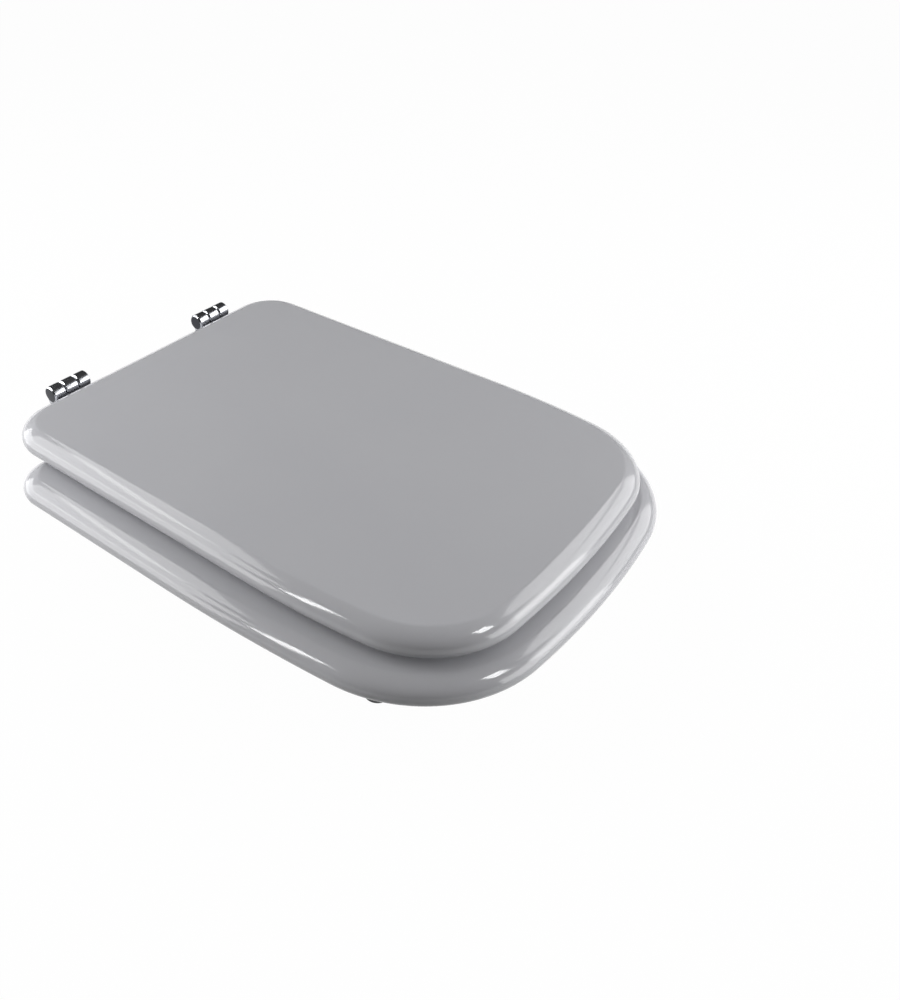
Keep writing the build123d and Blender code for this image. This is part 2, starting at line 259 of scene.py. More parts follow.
def chain(circles: Sequence[Round], fillet: float = 1.0) -> Outline:
    """Outline of a bar that passes a chain of circles, with the outer tangents between neighbours.

    A tangent touches its two circles at the angle whose cosine is the difference of the radii over the
    distance, to either side of the line between the centres. At a circle on the way, the outside of the
    bend follows the circle, and the inside is an arc of the fillet radius that touches both tangents.

    Args:
        circles: Centre and radius of each circle, from end to end.
        fillet: Rounding inside a bend.

    Returns:
        The outline, anticlockwise.
    """
    right, left = [], []
    for (x, y, radius), (next_x, next_y, next_radius) in zip(circles, circles[1:]):
        heading = math.atan2(next_y - y, next_x - x)
        spread = math.acos((radius - next_radius) / math.hypot(next_x - x, next_y - y))
        right.append(heading - spread)
        left.append(heading + spread)

    def bend(circle: Round, begin: float, end: float) -> Arc:
        """Arc at a circle on the way, between the normals of two tangents.

        Args:
            circle: Centre and radius of the circle.
            begin: Angle of the first normal.
            end: Angle of the second normal.

        Returns:
            The arc of the circle outside a bend, or of the fillet inside it.
        """
        turn = math.remainder(end - begin, 2 * math.pi)
        if turn > 0:
            return Arc(circle[:2], circle[2], begin, begin + turn)
        reach = (circle[2] + fillet) / math.cos(turn / 2)
        middle = begin + turn / 2
        centre = (circle[0] + reach * math.cos(middle), circle[1] + reach * math.sin(middle))
        return Arc(centre, -fillet, begin, begin + turn)

    between = list(range(1, len(circles) - 1))
    there = [bend(circles[number], right[number - 1], right[number]) for number in between]
    back = [bend(circles[number], left[number], left[number - 1]) for number in reversed(between)]
    first, last = circles[0], circles[-1]
    far = Arc(last[:2], last[2], right[-1], left[-1])
    near = Arc(first[:2], first[2], left[0], right[0] + 2 * math.pi)
    return Outline((*there, far, *back, near))


def rounded(corners: Sequence[Round], closed: bool = False) -> np.ndarray:
    """Profile through corners, each rounded by its own radius.

    A corner is replaced by the arc that touches both of its sides; the arc's centre lies on the bisector,
    at the radius over the sine of half the angle between the sides.

    Args:
        corners: Place and rounding radius of each corner.
        closed: Whether the last corner is joined to the first. If not, both ends stay sharp.

    Returns:
        Points of the profile.
    """
    places = np.array([corner[:2] for corner in corners], float)
    parts = []
    for number, (x, y, radius) in enumerate(corners):
        at_end = not closed and number in (0, len(corners) - 1)
        if at_end or radius <= 0:
            parts.append(np.array([[x, y]]))
            continue
        back = places[number - 1] - places[number]
        ahead = places[(number + 1) % len(corners)] - places[number]
        back /= np.linalg.norm(back)
        ahead /= np.linalg.norm(ahead)
        half = math.acos(float(np.clip(back @ ahead, -1, 1))) / 2
        bisector = (back + ahead) / np.linalg.norm(back + ahead)
        centre = places[number] + bisector * radius / math.sin(half)
        starts = places[number] + back * radius / math.tan(half) - centre
        stops = places[number] + ahead * radius / math.tan(half) - centre
        turn = math.pi - 2 * half
        share = np.linspace(0, 1, ROUNDING_STEPS + 1)[:, None]
        arc = (np.sin((1 - share) * turn) * starts + np.sin(share * turn) * stops) / math.sin(turn)
        parts.append(centre + arc)
    return np.vstack(parts)


def lathe(profile: np.ndarray, stand: Stand, centre: Pair, around: int, closed: bool = False) -> Shell:
    """Turned solid: the profile of (radius, height) carried round its axis.

    Args:
        profile: Radius and height of each point. An open one is filled at both ends.
        stand: Direction of the axis.
        centre: Where the axis stands, in the two directions across it.
        around: Points round the axis.
        closed: Whether the profile is a loop, as for a ring.

    Returns:
        The solid's surface.
    """
    angles = np.linspace(0, 2 * math.pi, around, endpoint=False)
    radius, height = profile[:, :1], profile[:, 1:]
    across = centre[0] + radius * np.cos(angles)
    up = centre[1] + radius * np.sin(angles)
    local = np.stack([across, up, height + 0 * across], axis=-1)
    return stacked(local[..., stand.value], closed)


def cutter(radius: float, low: float, high: float, stand: Stand, centre: Pair) -> Shell:
    """Plain cylinder that cuts a bore."""
    return lathe(np.array([(radius, low), (radius, high)]), stand, centre, CUTTER_AROUND)


def edge_section(
    low: float,
    high: float,
    under: float,
    over: float,
    steps: int,
    run: float | None = None,
    turn: float = 90.0,
) -> np.ndarray:
    """Edge of a board as (inset, height) rows: a quarter circle below and an arc of an ellipse above.

    At the turn t the upper arc lies run * (1 - cos t) / (1 - cos turn) inward and over * sin t / sin turn
    up from its upright start. It meets the flat top in a crease, unless it turns by 90 degrees.

    Args:
        low: Height of the underside.
        high: Height of the top.
        under: Radius of the lower rounding.
        over: Height of the upper rounding.
        steps: Steps along each rounding.
        run: Width of the upper rounding, if that isn't its height.
        turn: Turn of the upper arc, in degrees.

    Returns:
        The rows from the underside to the top.
    """
    quarter = np.linspace(0, math.pi / 2, steps + 1)
    lower = np.column_stack([under * (1 - np.sin(quarter)), low + under * (1 - np.cos(quarter))])
    arc = np.linspace(0, math.radians(turn), steps + 1)
    inward = (1 - np.cos(arc)) / (1 - np.cos(arc[-1]))
    upward = np.sin(arc) / np.sin(arc[-1])
    upper = np.column_stack([(over if run is None else run) * inward, high - over * (1 - upward)])
    return np.vstack([lower, upper])


def inset_rings(outline: Outline, section: np.ndarray, around: int) -> np.ndarray:
    """Rings of an edge: the outline pulled in along its normals by each inset, at the height beside it.

    Args:
        outline: Plan of the board.
        section: Insets and heights of the rings.
        around: Points round each ring.

    Returns:
        Points, indexed by ring, place round the ring and axis.
    """
    points, normals = outline.around(around)
    plan = points[None] - normals[None] * section[:, 0][:, None, None]
    heights = np.broadcast_to(section[:, 1][:, None, None], plan.shape[:2] + (1,))
    return np.concatenate([plan, heights], axis=-1)


def slab(outline: Outline, section: np.ndarray, stand: Stand, around: int, margin: float) -> Shell:
    """Plate with round edges: the edge section carried round an outline, with a flat cap above and below.

    Args:
        outline: Plan of the plate.
        section: Its edge, as edge_section gives it.
        stand: Direction of its thickness.
        around: Points round the outline.
        margin: Width of the flat band beside the rounding, which keeps the faces' shading true.

    Returns:
        The plate's surface.
    """
    inner = section[[0, -1]] + (margin, 0)
    rings = inset_rings(outline, np.vstack([inner[:1], section, inner[1:]]), around)
    return stacked(rings[..., stand.value])


def threaded_rod(
    stations: np.ndarray, radii: np.ndarray, depths: np.ndarray, pitch: float, around: int
) -> np.ndarray:
    """Rings of a rod whose radius winds up and down as a thread.

    At height z and angle t the radius is the rod's own plus the depth times a triangle wave of
    (z / pitch - t / full turn), so that the crests climb one pitch in each turn.

    Args:
        stations: Height of each ring.
        radii: Middle radius of each ring.
        depths: Half the height of the thread at each ring.
        pitch: Climb of one turn.
        around: Points round the rod.

    Returns:
        The rings, about the line x = y = 0.
    """
    angles = np.linspace(0, 2 * math.pi, around, endpoint=False)
    phase = (stations[:, None] / pitch - angles[None] / (2 * math.pi)) % 1.0
    wave = 4 * np.abs(phase - 0.5) - 1
    radius = radii[:, None] + depths[:, None] * wave
    heights = np.broadcast_to(stations[:, None], radius.shape)
    return np.stack([radius * np.cos(angles), radius * np.sin(angles), heights], axis=-1)


# Meshes and pieces


def new_object(name: str, shells: Sequence[Shell]) -> bpy.types.Object:
    """Object at the origin that holds the given surfaces, from millimetres to metres.

    Args:
        name: Name of the object and its mesh.
        shells: Its surfaces.

    Returns:
        The object, linked to the scene.
    """
    points, faces, start = [], [], 0
    for shell in shells:
        points.append(shell.points * MM)
        faces += (shell.quads + start).tolist() + [(cap + start).tolist() for cap in shell.caps]
        start += len(shell.points)
    mesh = bpy.data.meshes.new(name)
    mesh.from_pydata(np.vstack(points).tolist(), [], faces)
    mesh.update()
    piece = bpy.data.objects.new(name, mesh)
    bpy.context.scene.collection.objects.link(piece)
    return piece


def combine(piece: bpy.types.Object, shells: Sequence[Shell], join: Join) -> None:
    """Adds closed surfaces to a piece, or cuts them out of it, and keeps the resulting mesh.

    Args:
        piece: Object that is changed.
        shells: Surfaces, one after the other.
        join: Whether they are added or cut.
    """
    tools = [new_object(f"{piece.name}_tool", [shell]) for shell in shells]
    for tool in tools:
        modifier = piece.modifiers.new("combine", "BOOLEAN")
        modifier.operation = join.value
        modifier.solver = "EXACT"
        modifier.object = tool
    evaluated = piece.evaluated_get(bpy.context.evaluated_depsgraph_get())
    result = bpy.data.meshes.new_from_object(evaluated)
    piece.modifiers.clear()
    piece.data = result
    for tool in tools:
        bpy.data.objects.remove(tool)
    skin = bmesh.new()
    skin.from_mesh(result)
    bmesh.ops.remove_doubles(skin, verts=skin.verts, dist=WELD)
    skin.to_mesh(result)
    skin.free()


def add_piece(
    name: str,
    node: str,
    body: Body,
    finish: "Finish",
    shells: Sequence[Shell],
    cuts: Sequence[Shell] = (),
    fused: bool = False,
) -> None:
    """Makes a finished piece that stands for a solid of the frame.

    Args:
        name: Name of the piece.
        node: Solid that it replaces.
        body: Body that it rides on.
        finish: Its material and the record's slot.
        shells: Its surfaces.
        cuts: Surfaces to cut out of it.
        fused: Whether the surfaces run into each other and are made one skin.
    """
    piece = new_object(name, shells[:1] if fused else shells)
    if fused and len(shells) > 1:
        combine(piece, shells[1:], Join.ADD)
    if cuts:
        combine(piece, cuts, Join.CUT)
    mesh = piece.data
    mesh.name = name
    mesh.materials.clear()
    mesh.materials.append(finish.material)
    mesh.polygons.foreach_set("material_index", np.zeros(len(mesh.polygons), np.int32))
    mesh.shade_smooth()
    mesh.set_sharp_from_angle(angle=math.radians(SHARP_DEGREES))
    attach(piece, body.value)
    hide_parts(node)
    log.info("%s replaces %s on %s, %d faces", name, node, body.value, len(mesh.polygons))


def node_box(node: str) -> tuple[np.ndarray, np.ndarray]:
    """Lowest and highest corner of a solid of the frame, in millimetres."""
    low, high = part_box(node)
    return np.array(low) / MM, np.array(high) / MM


def node_middle(node: str) -> np.ndarray:
    """Middle of a solid of the frame in plan, in millimetres."""
    low, high = node_box(node)
    return (low + high)[:2] / 2


# Shader graphs


class Graph:
    """Adds and joins the nodes of one material, world or group."""

    def __init__(self, tree: bpy.types.NodeTree) -> None:
        """Starts from an empty tree."""
        tree.nodes.clear()
        self.tree = tree

    def add(self, kind: str, inputs: dict | None = None, **settings: object) -> bpy.types.Node:
        """Adds a node.

        Args:
            kind: Type of the node.
            inputs: Value of each input, or the output that is linked to it, by name or number.
            settings: Properties of the node.

        Returns:
            The node.
        """
        node = self.tree.nodes.new(kind)
        for name, value in settings.items():
            setattr(node, name, value)
        for key, value in (inputs or {}).items():
            if isinstance(value, bpy.types.NodeSocket):
                self.tree.links.new(value, node.inputs[key])
            else:
                node.inputs[key].default_value = value
        return node

    def math(self, operation: str, first: object, second: object) -> bpy.types.NodeSocket:
        """Sum, product or another operation on two values."""
        return self.add("ShaderNodeMath", {0: first, 1: second}, operation=operation).outputs[0]

    def spread(self, value: bpy.types.NodeSocket, low: float, high: float) -> bpy.types.NodeSocket:
        """A value from 0 to 1 carried to the range from low to high."""
        inputs = {"Value": value, "To Min": low, "To Max": high}
        return self.add("ShaderNodeMapRange", inputs).outputs[0]

    def ramp(self, value: bpy.types.NodeSocket, low: float, high: float) -> bpy.types.NodeSocket:
        """A value carried from the range from low to high to that from 0 to 1."""
        inputs = {"Value": value, "From Min": low, "From Max": high}
        return self.add("ShaderNodeMapRange", inputs).outputs[0]

    def noise(
        self, place: bpy.types.NodeSocket, scale: object, detail: float = 2.0, bend: object = 0.0
    ) -> bpy.types.NodeSocket:
        """Noise of a scale and a detail, bent by itself."""
        inputs = {"Vector": place, "Scale": scale, "Detail": detail, "Distortion": bend}
        return self.add("ShaderNodeTexNoise", inputs).outputs[0]

    def blend(self, share: bpy.types.NodeSocket, first: object, second: object) -> bpy.types.NodeSocket:
        """Mix of two colours, each a tuple of four numbers or an output."""
        return self.add("ShaderNodeMix", {0: share, 6: first, 7: second}, data_type="RGBA").outputs[2]

    def group(
        self, tree: bpy.types.NodeTree, place: bpy.types.NodeSocket, **values: float
    ) -> bpy.types.NodeSocket:
        """Result of a shared group, placed with its own values."""
        return self.add("ShaderNodeGroup", {"Vector": place, **values}, node_tree=tree).outputs[0]


def shared_group(name: str, inputs: list[str], output: str) -> tuple[Graph, dict, bpy.types.NodeSocket]:
    """Empty shader group with a Vector input, named number inputs and one named number output.

    Args:
        name: Name of the group.
        inputs: Names of its number inputs.
        output: Name of its output.

    Returns:
        The group's graph, its given values by name and the socket of its result.
    """
    tree = bpy.data.node_groups.new(name, "ShaderNodeTree")
    tree.interface.new_socket("Vector", in_out="INPUT", socket_type="NodeSocketVector")
    for label in inputs:
        tree.interface.new_socket(label, in_out="INPUT", socket_type="NodeSocketFloat")
    tree.interface.new_socket(output, in_out="OUTPUT", socket_type="NodeSocketFloat")
    graph = Graph(tree)
    given = {socket.name: socket for socket in graph.add("NodeGroupInput").outputs}
    return graph, given, graph.add("NodeGroupOutput").inputs[output]


def ripple_group() -> bpy.types.NodeTree:
    """Soft unevenness of a poured, cast or moulded skin: a wide noise with a third of a finer one added.

    Returns:
        The group.
    """
    finer, third = 3.1, 0.33
    graph, given, out = shared_group("Skin Ripple", ["Scale"], "Height")
    wide = graph.noise(given["Vector"], given["Scale"], detail=1.0)
    fine = graph.noise(given["Vector"], graph.math("MULTIPLY", given["Scale"], finer))
    height = graph.math("ADD", wide, graph.math("MULTIPLY", fine, third))
    graph.tree.links.new(height, out)
    return graph.tree


def cloud_group() -> bpy.types.NodeTree:
    """Slow drift of tone or gloss: noise bent by itself, stretched to fill the range from 0 to 1.

    Returns:
        The group.
    """
    darkest, palest = 0.3, 0.7
    graph, given, out = shared_group("Slow Clouds", ["Scale", "Bend"], "Mask")
    noise = graph.noise(given["Vector"], given["Scale"], detail=3.0, bend=given["Bend"])
    graph.tree.links.new(graph.ramp(noise, darkest, palest), out)
    return graph.tree


def scuff_group() -> bpy.types.NodeTree:
    """Hairlines from wiping: the crests of noise that is drawn out along two slanting directions.

    Returns:
        The group.
    """
    foot, crest = 0.62, 0.72
    strokes = ((0.6, (1.0, 26.0, 26.0)), (-0.95, (24.0, 1.0, 24.0)))
    graph, given, out = shared_group("Wiping Hairlines", ["Scale"], "Mask")
    lines = []
    for turn, stretch in strokes:
        turned = graph.add("ShaderNodeMapping", {"Vector": given["Vector"], "Rotation": (0.0, 0.0, turn)})
        drawn = graph.add("ShaderNodeMapping", {"Vector": turned.outputs[0], "Scale": stretch})
        lines.append(graph.ramp(graph.noise(drawn.outputs[0], given["Scale"]), foot, crest))
    graph.tree.links.new(graph.math("MAXIMUM", *lines), out)
    return graph.tree


def painted_end_reflection_group() -> bpy.types.NodeTree:
    """Mask of the painted dark reflection on the flat ends of two barrels that lie along X, one on each
    side.

    The mask is 1 where the distance from the axis is under the radius and the distance along X from the
    middle of the nearer barrel is over the reach.

    Returns:
        The group.
    """
    inputs = ["Middle", "Reach", "Axis Y", "Axis Z", "Radius"]
    graph, given, out = shared_group("Painted End Reflection", inputs, "Mask")
    parts = graph.add("ShaderNodeSeparateXYZ", {"Vector": given["Vector"]})
    across = graph.math("SUBTRACT", graph.math("ABSOLUTE", parts.outputs["X"], 0.0), given["Middle"])
    past = graph.math("GREATER_THAN", graph.math("ABSOLUTE", across, 0.0), given["Reach"])
    back = graph.math("POWER", graph.math("SUBTRACT", parts.outputs["Y"], given["Axis Y"]), 2.0)
    rise = graph.math("POWER", graph.math("SUBTRACT", parts.outputs["Z"], given["Axis Z"]), 2.0)
    distance = graph.math("SQRT", graph.math("ADD", back, rise), 0.0)
    within = graph.math("LESS_THAN", distance, given["Radius"])
    graph.tree.links.new(graph.math("MULTIPLY", past, within), out)
    return graph.tree


def speck_group() -> bpy.types.NodeTree:
    """Sparse specks: cells whose own random tone is under the share are marked close to their middle.

    Returns:
        The group.
    """
    rim, core = 0.22, 0.1
    graph, given, out = shared_group("Sparse Specks", ["Scale", "Share"], "Mask")
    cells = graph.add("ShaderNodeTexVoronoi", {"Vector": given["Vector"], "Scale": given["Scale"]})
    near = graph.ramp(cells.outputs["Distance"], rim, core)
    tone = graph.add("ShaderNodeSeparateColor", {"Color": cells.outputs["Color"]})
    chosen = graph.math("LESS_THAN", tone.outputs[0], given["Share"])
    graph.tree.links.new(graph.math("MULTIPLY", near, chosen), out)
    return graph.tree


@dataclass(frozen=True)
class Effects:
    """Shader groups that the finishes share."""

    ripple: bpy.types.NodeTree
    clouds: bpy.types.NodeTree
    hairlines: bpy.types.NodeTree
    specks: bpy.types.NodeTree
    # Mask of the painted dark reflection on the barrel ends.
    ends: bpy.types.NodeTree

    @classmethod
    def build(cls) -> "Effects":
        """Builds each group once."""
        return cls(ripple_group(), cloud_group(), scuff_group(), speck_group(), painted_end_reflection_group())


# Finishes


@dataclass(frozen=True)
class Finish:
    """A built material and the record's slot that it belongs to."""

    slot: str
    material: bpy.types.Material


@dataclass(frozen=True)
class PaintedEndReflection:
    """Where the ends of both hinge barrels are, in metres, and the near-black tone of the painted reflection
    laid on them.
    """

    middle: float
    reach: float
    axis: Pair
    radius: float
    tone: Colour

    def inputs(self) -> dict[str, float]:
        """Values for the mask of the painted reflection on the barrel ends, by the names of its inputs."""
        place = {"Middle": self.middle, "Axis Y": self.axis[0], "Axis Z": self.axis[1]}
        return {**place, "Reach": self.reach, "Radius": self.radius}


@dataclass(frozen=True)
class Coating:
    """Recipe of a finish: two tones, a range of gloss, how uneven, clouded, wiped and specked it is, and any
    painted reflection on barrel ends.
    """

    slot: str
    tone: Colour
    other_tone: Colour
    metallic: float
    roughness: Pair
    cloud_scale: float
    ripple_scale: float
    ripple_depth: float
    hairline_scale: float
    hairline_gloss: float
    speck_scale: float
    speck_share: float
    speck_depth: float
    cloud_bend: float = 0.6
    ior: float = 1.5
    # Painted dark reflection on the barrel ends, if any.
    ends: PaintedEndReflection | None = None

    def build(self, effects: Effects) -> Finish:
        """Builds the material: clouds drive tone and gloss, hairlines dull it, ripple and specks bend it,
        and a painted dark reflection covers the barrel ends where given.

        Args:
            effects: Shared groups.

        Returns:
            The finish.
        """
        material = bpy.data.materials.new(self.slot)
        material.use_nodes = True
        graph = Graph(material.node_tree)
        place = graph.add("ShaderNodeTexCoord").outputs["Object"]
        clouds = graph.group(effects.clouds, place, Scale=self.cloud_scale, Bend=self.cloud_bend)
        hairlines = graph.group(effects.hairlines, place, Scale=self.hairline_scale)
        ripple = graph.group(effects.ripple, place, Scale=self.ripple_scale)
        specks = graph.group(effects.specks, place, Scale=self.speck_scale, Share=self.speck_share)
        dulled = graph.math("MULTIPLY", hairlines, self.hairline_gloss)
        gloss = graph.math("ADD", graph.spread(clouds, *self.roughness), dulled)
        height = graph.math("ADD", ripple, graph.math("MULTIPLY", specks, self.speck_depth))
        relief = {"Height": height, "Strength": 1.0, "Distance": self.ripple_depth * MM}
        bump = graph.add("ShaderNodeBump", relief)
        colour = graph.blend(clouds, (*self.tone, 1.0), (*self.other_tone, 1.0))
        # Painted reflection: a near-black tone on the barrels' flat ends stands for the dark room mirrored
        # in the chrome.
        if self.ends:
            painted_reflection_mask = graph.group(effects.ends, place, **self.ends.inputs())
            colour = graph.blend(painted_reflection_mask, colour, (*self.ends.tone, 1.0))
        shader = graph.add(
            "ShaderNodeBsdfPrincipled",
            {
                "Base Color": colour,
                "Metallic": self.metallic,
                "Roughness": gloss,
                "IOR": self.ior,
                "Normal": bump.outputs["Normal"],
            },
        )
        graph.add("ShaderNodeOutputMaterial", {"Surface": shader.outputs["BSDF"]})
        return Finish(self.slot, material)


GLOSS_POLYESTER = Coating(
    slot="polyester",
    tone=(0.575, 0.577, 0.604),
    other_tone=(0.59, 0.592, 0.616),
    metallic=0.0,
    roughness=(0.06, 0.1),
    cloud_scale=7.0,
    ripple_scale=120.0,
    ripple_depth=0.05,
    hairline_scale=14.0,
    hairline_gloss=0.02,
    speck_scale=420.0,
    speck_share=0.02,
    speck_depth=0.25,
)
BRIGHT_CHROME = Coating(
    slot="chrome",
    tone=(0.56, 0.57, 0.6),
    other_tone=(0.5, 0.51, 0.54),
    metallic=1.0,
    roughness=(0.16, 0.24),
    cloud_scale=160.0,
    ripple_scale=260.0,
    ripple_depth=0.004,
    hairline_scale=60.0,
    hairline_gloss=0.05,
    speck_scale=1500.0,
    speck_share=0.04,
    speck_depth=0.4,
    # Painted dark reflection laid on the ends of the barrels.
    ends=PaintedEndReflection(
        middle=0.085, reach=0.01902, axis=(0.0175, 0.0492), radius=0.0064, tone=(0.05, 0.052, 0.06)
    ),
)
ZINC_PLATE = Coating(
    slot="zinc_steel",
    tone=(0.60, 0.60, 0.575),
    other_tone=(0.48, 0.485, 0.475),
    metallic=1.0,
    roughness=(0.26, 0.42),
    cloud_scale=260.0,
    ripple_scale=900.0,
    ripple_depth=0.02,
    hairline_scale=120.0,
    hairline_gloss=0.12,
    speck_scale=2200.0,
    speck_share=0.06,
    speck_depth=0.5,
)
WHITE_PLASTIC = Coating(
    slot="white_plastic",
    tone=(0.83, 0.83, 0.815),
    other_tone=(0.78, 0.78, 0.76),
    metallic=0.0,
    roughness=(0.32, 0.45),
    cloud_scale=120.0,
    ripple_scale=700.0,
    ripple_depth=0.03,
    hairline_scale=80.0,
    hairline_gloss=0.08,
    speck_scale=1400.0,
    speck_share=0.03,
    speck_depth=0.5,
)
BLACK_RUBBER = Coating(
    slot="black_rubber",
    tone=(0.022, 0.022, 0.023),
    other_tone=(0.04, 0.04, 0.04),
    metallic=0.0,
    roughness=(0.62, 0.8),
    cloud_scale=180.0,
    ripple_scale=1300.0,
    ripple_depth=0.06,
    hairline_scale=90.0,
    hairline_gloss=0.06,
    speck_scale=1700.0,
    speck_share=0.1,
    speck_depth=0.6,
)
GREY_RUBBER = Coating(
    slot="grey_rubber",
    tone=(0.07, 0.07, 0.075),
    other_tone=(0.1, 0.1, 0.105),
    metallic=0.0,
    roughness=(0.55, 0.75),
    cloud_scale=180.0,
    ripple_scale=1200.0,
    ripple_depth=0.06,
    hairline_scale=90.0,
    hairline_gloss=0.06,
    speck_scale=1600.0,
    speck_share=0.1,
    speck_depth=0.6,
)


@dataclass(frozen=True)
class Palette:
    """All finishes of the seat."""

    polyester: Finish
    chrome: Finish
    zinc: Finish
    plastic: Finish
    black_rubber: Finish
    grey_rubber: Finish

    @classmethod
    def build(cls) -> "Palette":
        """Builds the shared effects and every finish from them."""
        effects = Effects.build()
        coatings = (GLOSS_POLYESTER, BRIGHT_CHROME, ZINC_PLATE, WHITE_PLASTIC, BLACK_RUBBER, GREY_RUBBER)
        return cls(*(coating.build(effects) for coating in coatings))

    def for_slot(self, slot: str) -> Finish:
        """The finish of one of the record's slots."""
        every = (self.polyester, self.chrome, self.zinc, self.plastic, self.black_rubber, self.grey_rubber)
        return next(finish for finish in every if finish.slot == slot)


# Boards


@dataclass(frozen=True)
class Plan:
    """Plan of a board or an opening: straight rear edge, bowed sides, round corners and a bowed front."""

    width: float
    length: float
    rear_radius: float
    bow_run: float
    side_bow: float
    corner_radius: float
    front_bow: float

    def outline(self, rear: float) -> Outline:
        """Outline of the plan.

        The corner's centre lies where circles about the centres of the side bow and the front bow meet,
        with radii of each bow less the corner radius, so that the corner touches both bows from inside.

        Args:
            rear: Place of the rear edge, along y.

        Returns:
            The outline, anticlockwise.
        """
        half = self.width / 2
        side = np.array([half - self.side_bow, rear + self.bow_run - self.length])
        front = np.array([0.0, rear + self.front_bow - self.length])
        side_reach = self.side_bow - self.corner_radius
        front_reach = self.front_bow - self.corner_radius
        span = front - side
        distance = math.hypot(*span)
        line = span / distance
        along = (side_reach**2 - front_reach**2 + distance**2) / (2 * distance)
        across = math.sqrt(side_reach**2 - along**2)
        corner = side + line * along + np.array([line[1], -line[0]]) * across
        side_turn = math.atan2(*(corner - side)[::-1])
        front_turn = math.atan2(*(corner - front)[::-1])
        back = (half - self.rear_radius, rear - self.rear_radius)
        return Outline(
            (
                Arc(tuple(front), self.front_bow, -math.pi - front_turn, front_turn),
                Arc(tuple(corner), self.corner_radius, front_turn, side_turn),
                Arc(tuple(side), self.side_bow, side_turn, 0.0),
                Arc(back, self.rear_radius, 0.0, math.pi / 2),
                Arc((-back[0], back[1]), self.rear_radius, math.pi / 2, math.pi),
                Arc((-side[0], side[1]), self.side_bow, math.pi, math.pi - side_turn),
                Arc((-corner[0], corner[1]), self.corner_radius, math.pi - side_turn, math.pi - front_turn),
            )
        )


@dataclass
class LidBoard:
    """Flat lid of one thick board with round edges."""

    plan: Plan = Plan(
        width=318.7,
        length=443.5,
        rear_radius=40.8,
        bow_run=166.6,
        side_bow=736.0,
        corner_radius=80.4,
        front_bow=819.0,
    )
    over: float = 12.0
    run: float = 13.0
    turn: float = 55.0
    land: float = 0.2
    around: int = 760
    edge_steps: int = 20
    margin: float = 1.5

    def build(self, palette: Palette) -> None:
        """Carries the edge section round the lid's outline.

        Args:
            palette: Finishes of the seat.
        """
        low, high = node_box("lid_board")
        under = high[2] - low[2] - self.over - self.land
        section = edge_section(low[2], high[2], under, self.over, self.edge_steps, self.run, self.turn)
        shell = slab(self.plan.outline(high[1]), section, Stand.UPRIGHT, self.around, self.margin)
        add_piece("lid_shell", "lid_board", Body.LID, palette.polyester, [shell])


@dataclass
class SeatRing:
    """Seat ring of one thick board with round edges outside and round its opening."""

    plan: Plan = Plan(
        width=365.0,
        length=430.0,
        rear_radius=32.0,
        bow_run=247.0,
        side_bow=1544.0,
        corner_radius=107.0,
        front_bow=714.0,
    )
    opening: Plan = Plan(
        width=221.0,
        length=278.0,
        rear_radius=70.0,
        bow_run=160.0,
        side_bow=500.0,
        corner_radius=70.0,
        front_bow=160.0,
    )
    rear_rim: float = 75.0
    over: float = 11.5
    run: float = 13.0
    turn: float = 60.0
    opening_over: float = 10.0
    land: float = 0.2
    around: int = 760
    edge_steps: int = 20
    margin: float = 1.5
    flat_rings: int = 4

    def rings(self, outline: Outline, section: np.ndarray, sign: int) -> np.ndarray:
        """Rings of one edge with a flat band at both ends.

        Args:
            outline: Outline of the edge.
            section: The edge, as edge_section gives it.
            sign: 1 where the board lies inside the outline, and -1 where it lies outside.

        Returns:
            The rings from the underside to the top.
        """
        inner = section[[0, -1]] + (self.margin, 0)
        section = np.vstack([inner[:1], section, inner[1:]])
        section[:, 0] *= sign
        return inset_rings(outline, section, self.around)

    def build(self, palette: Palette) -> None:
        """Joins the outer and inner edges by flat rings above and below into one loop of rings.

        Args:
            palette: Finishes of the seat.
        """
        low, high = node_box("seat_ring")
        tall = high[2] - low[2] - self.land
        under, opening_under = tall - self.over, tall - self.opening_over
        rim = edge_section(low[2], high[2], under, self.over, self.edge_steps, self.run, self.turn)
        mouth = edge_section(low[2], high[2], opening_under, self.opening_over, self.edge_steps)
        outer = self.rings(self.plan.outline(high[1]), rim, 1)
        inner = self.rings(self.opening.outline(high[1] - self.rear_rim), mouth, -1)
        shares = np.linspace(0, 1, self.flat_rings + 2)[1:-1, None, None]
        top = outer[-1] + (inner[-1] - outer[-1]) * shares
        bottom = inner[0] + (outer[0] - inner[0]) * shares
        shell = stacked(np.concatenate([outer, top, inner[::-1], bottom]), closed=True)
        add_piece("seat_shell", "seat_ring", Body.SEAT, palette.polyester, [shell])


# Hinges


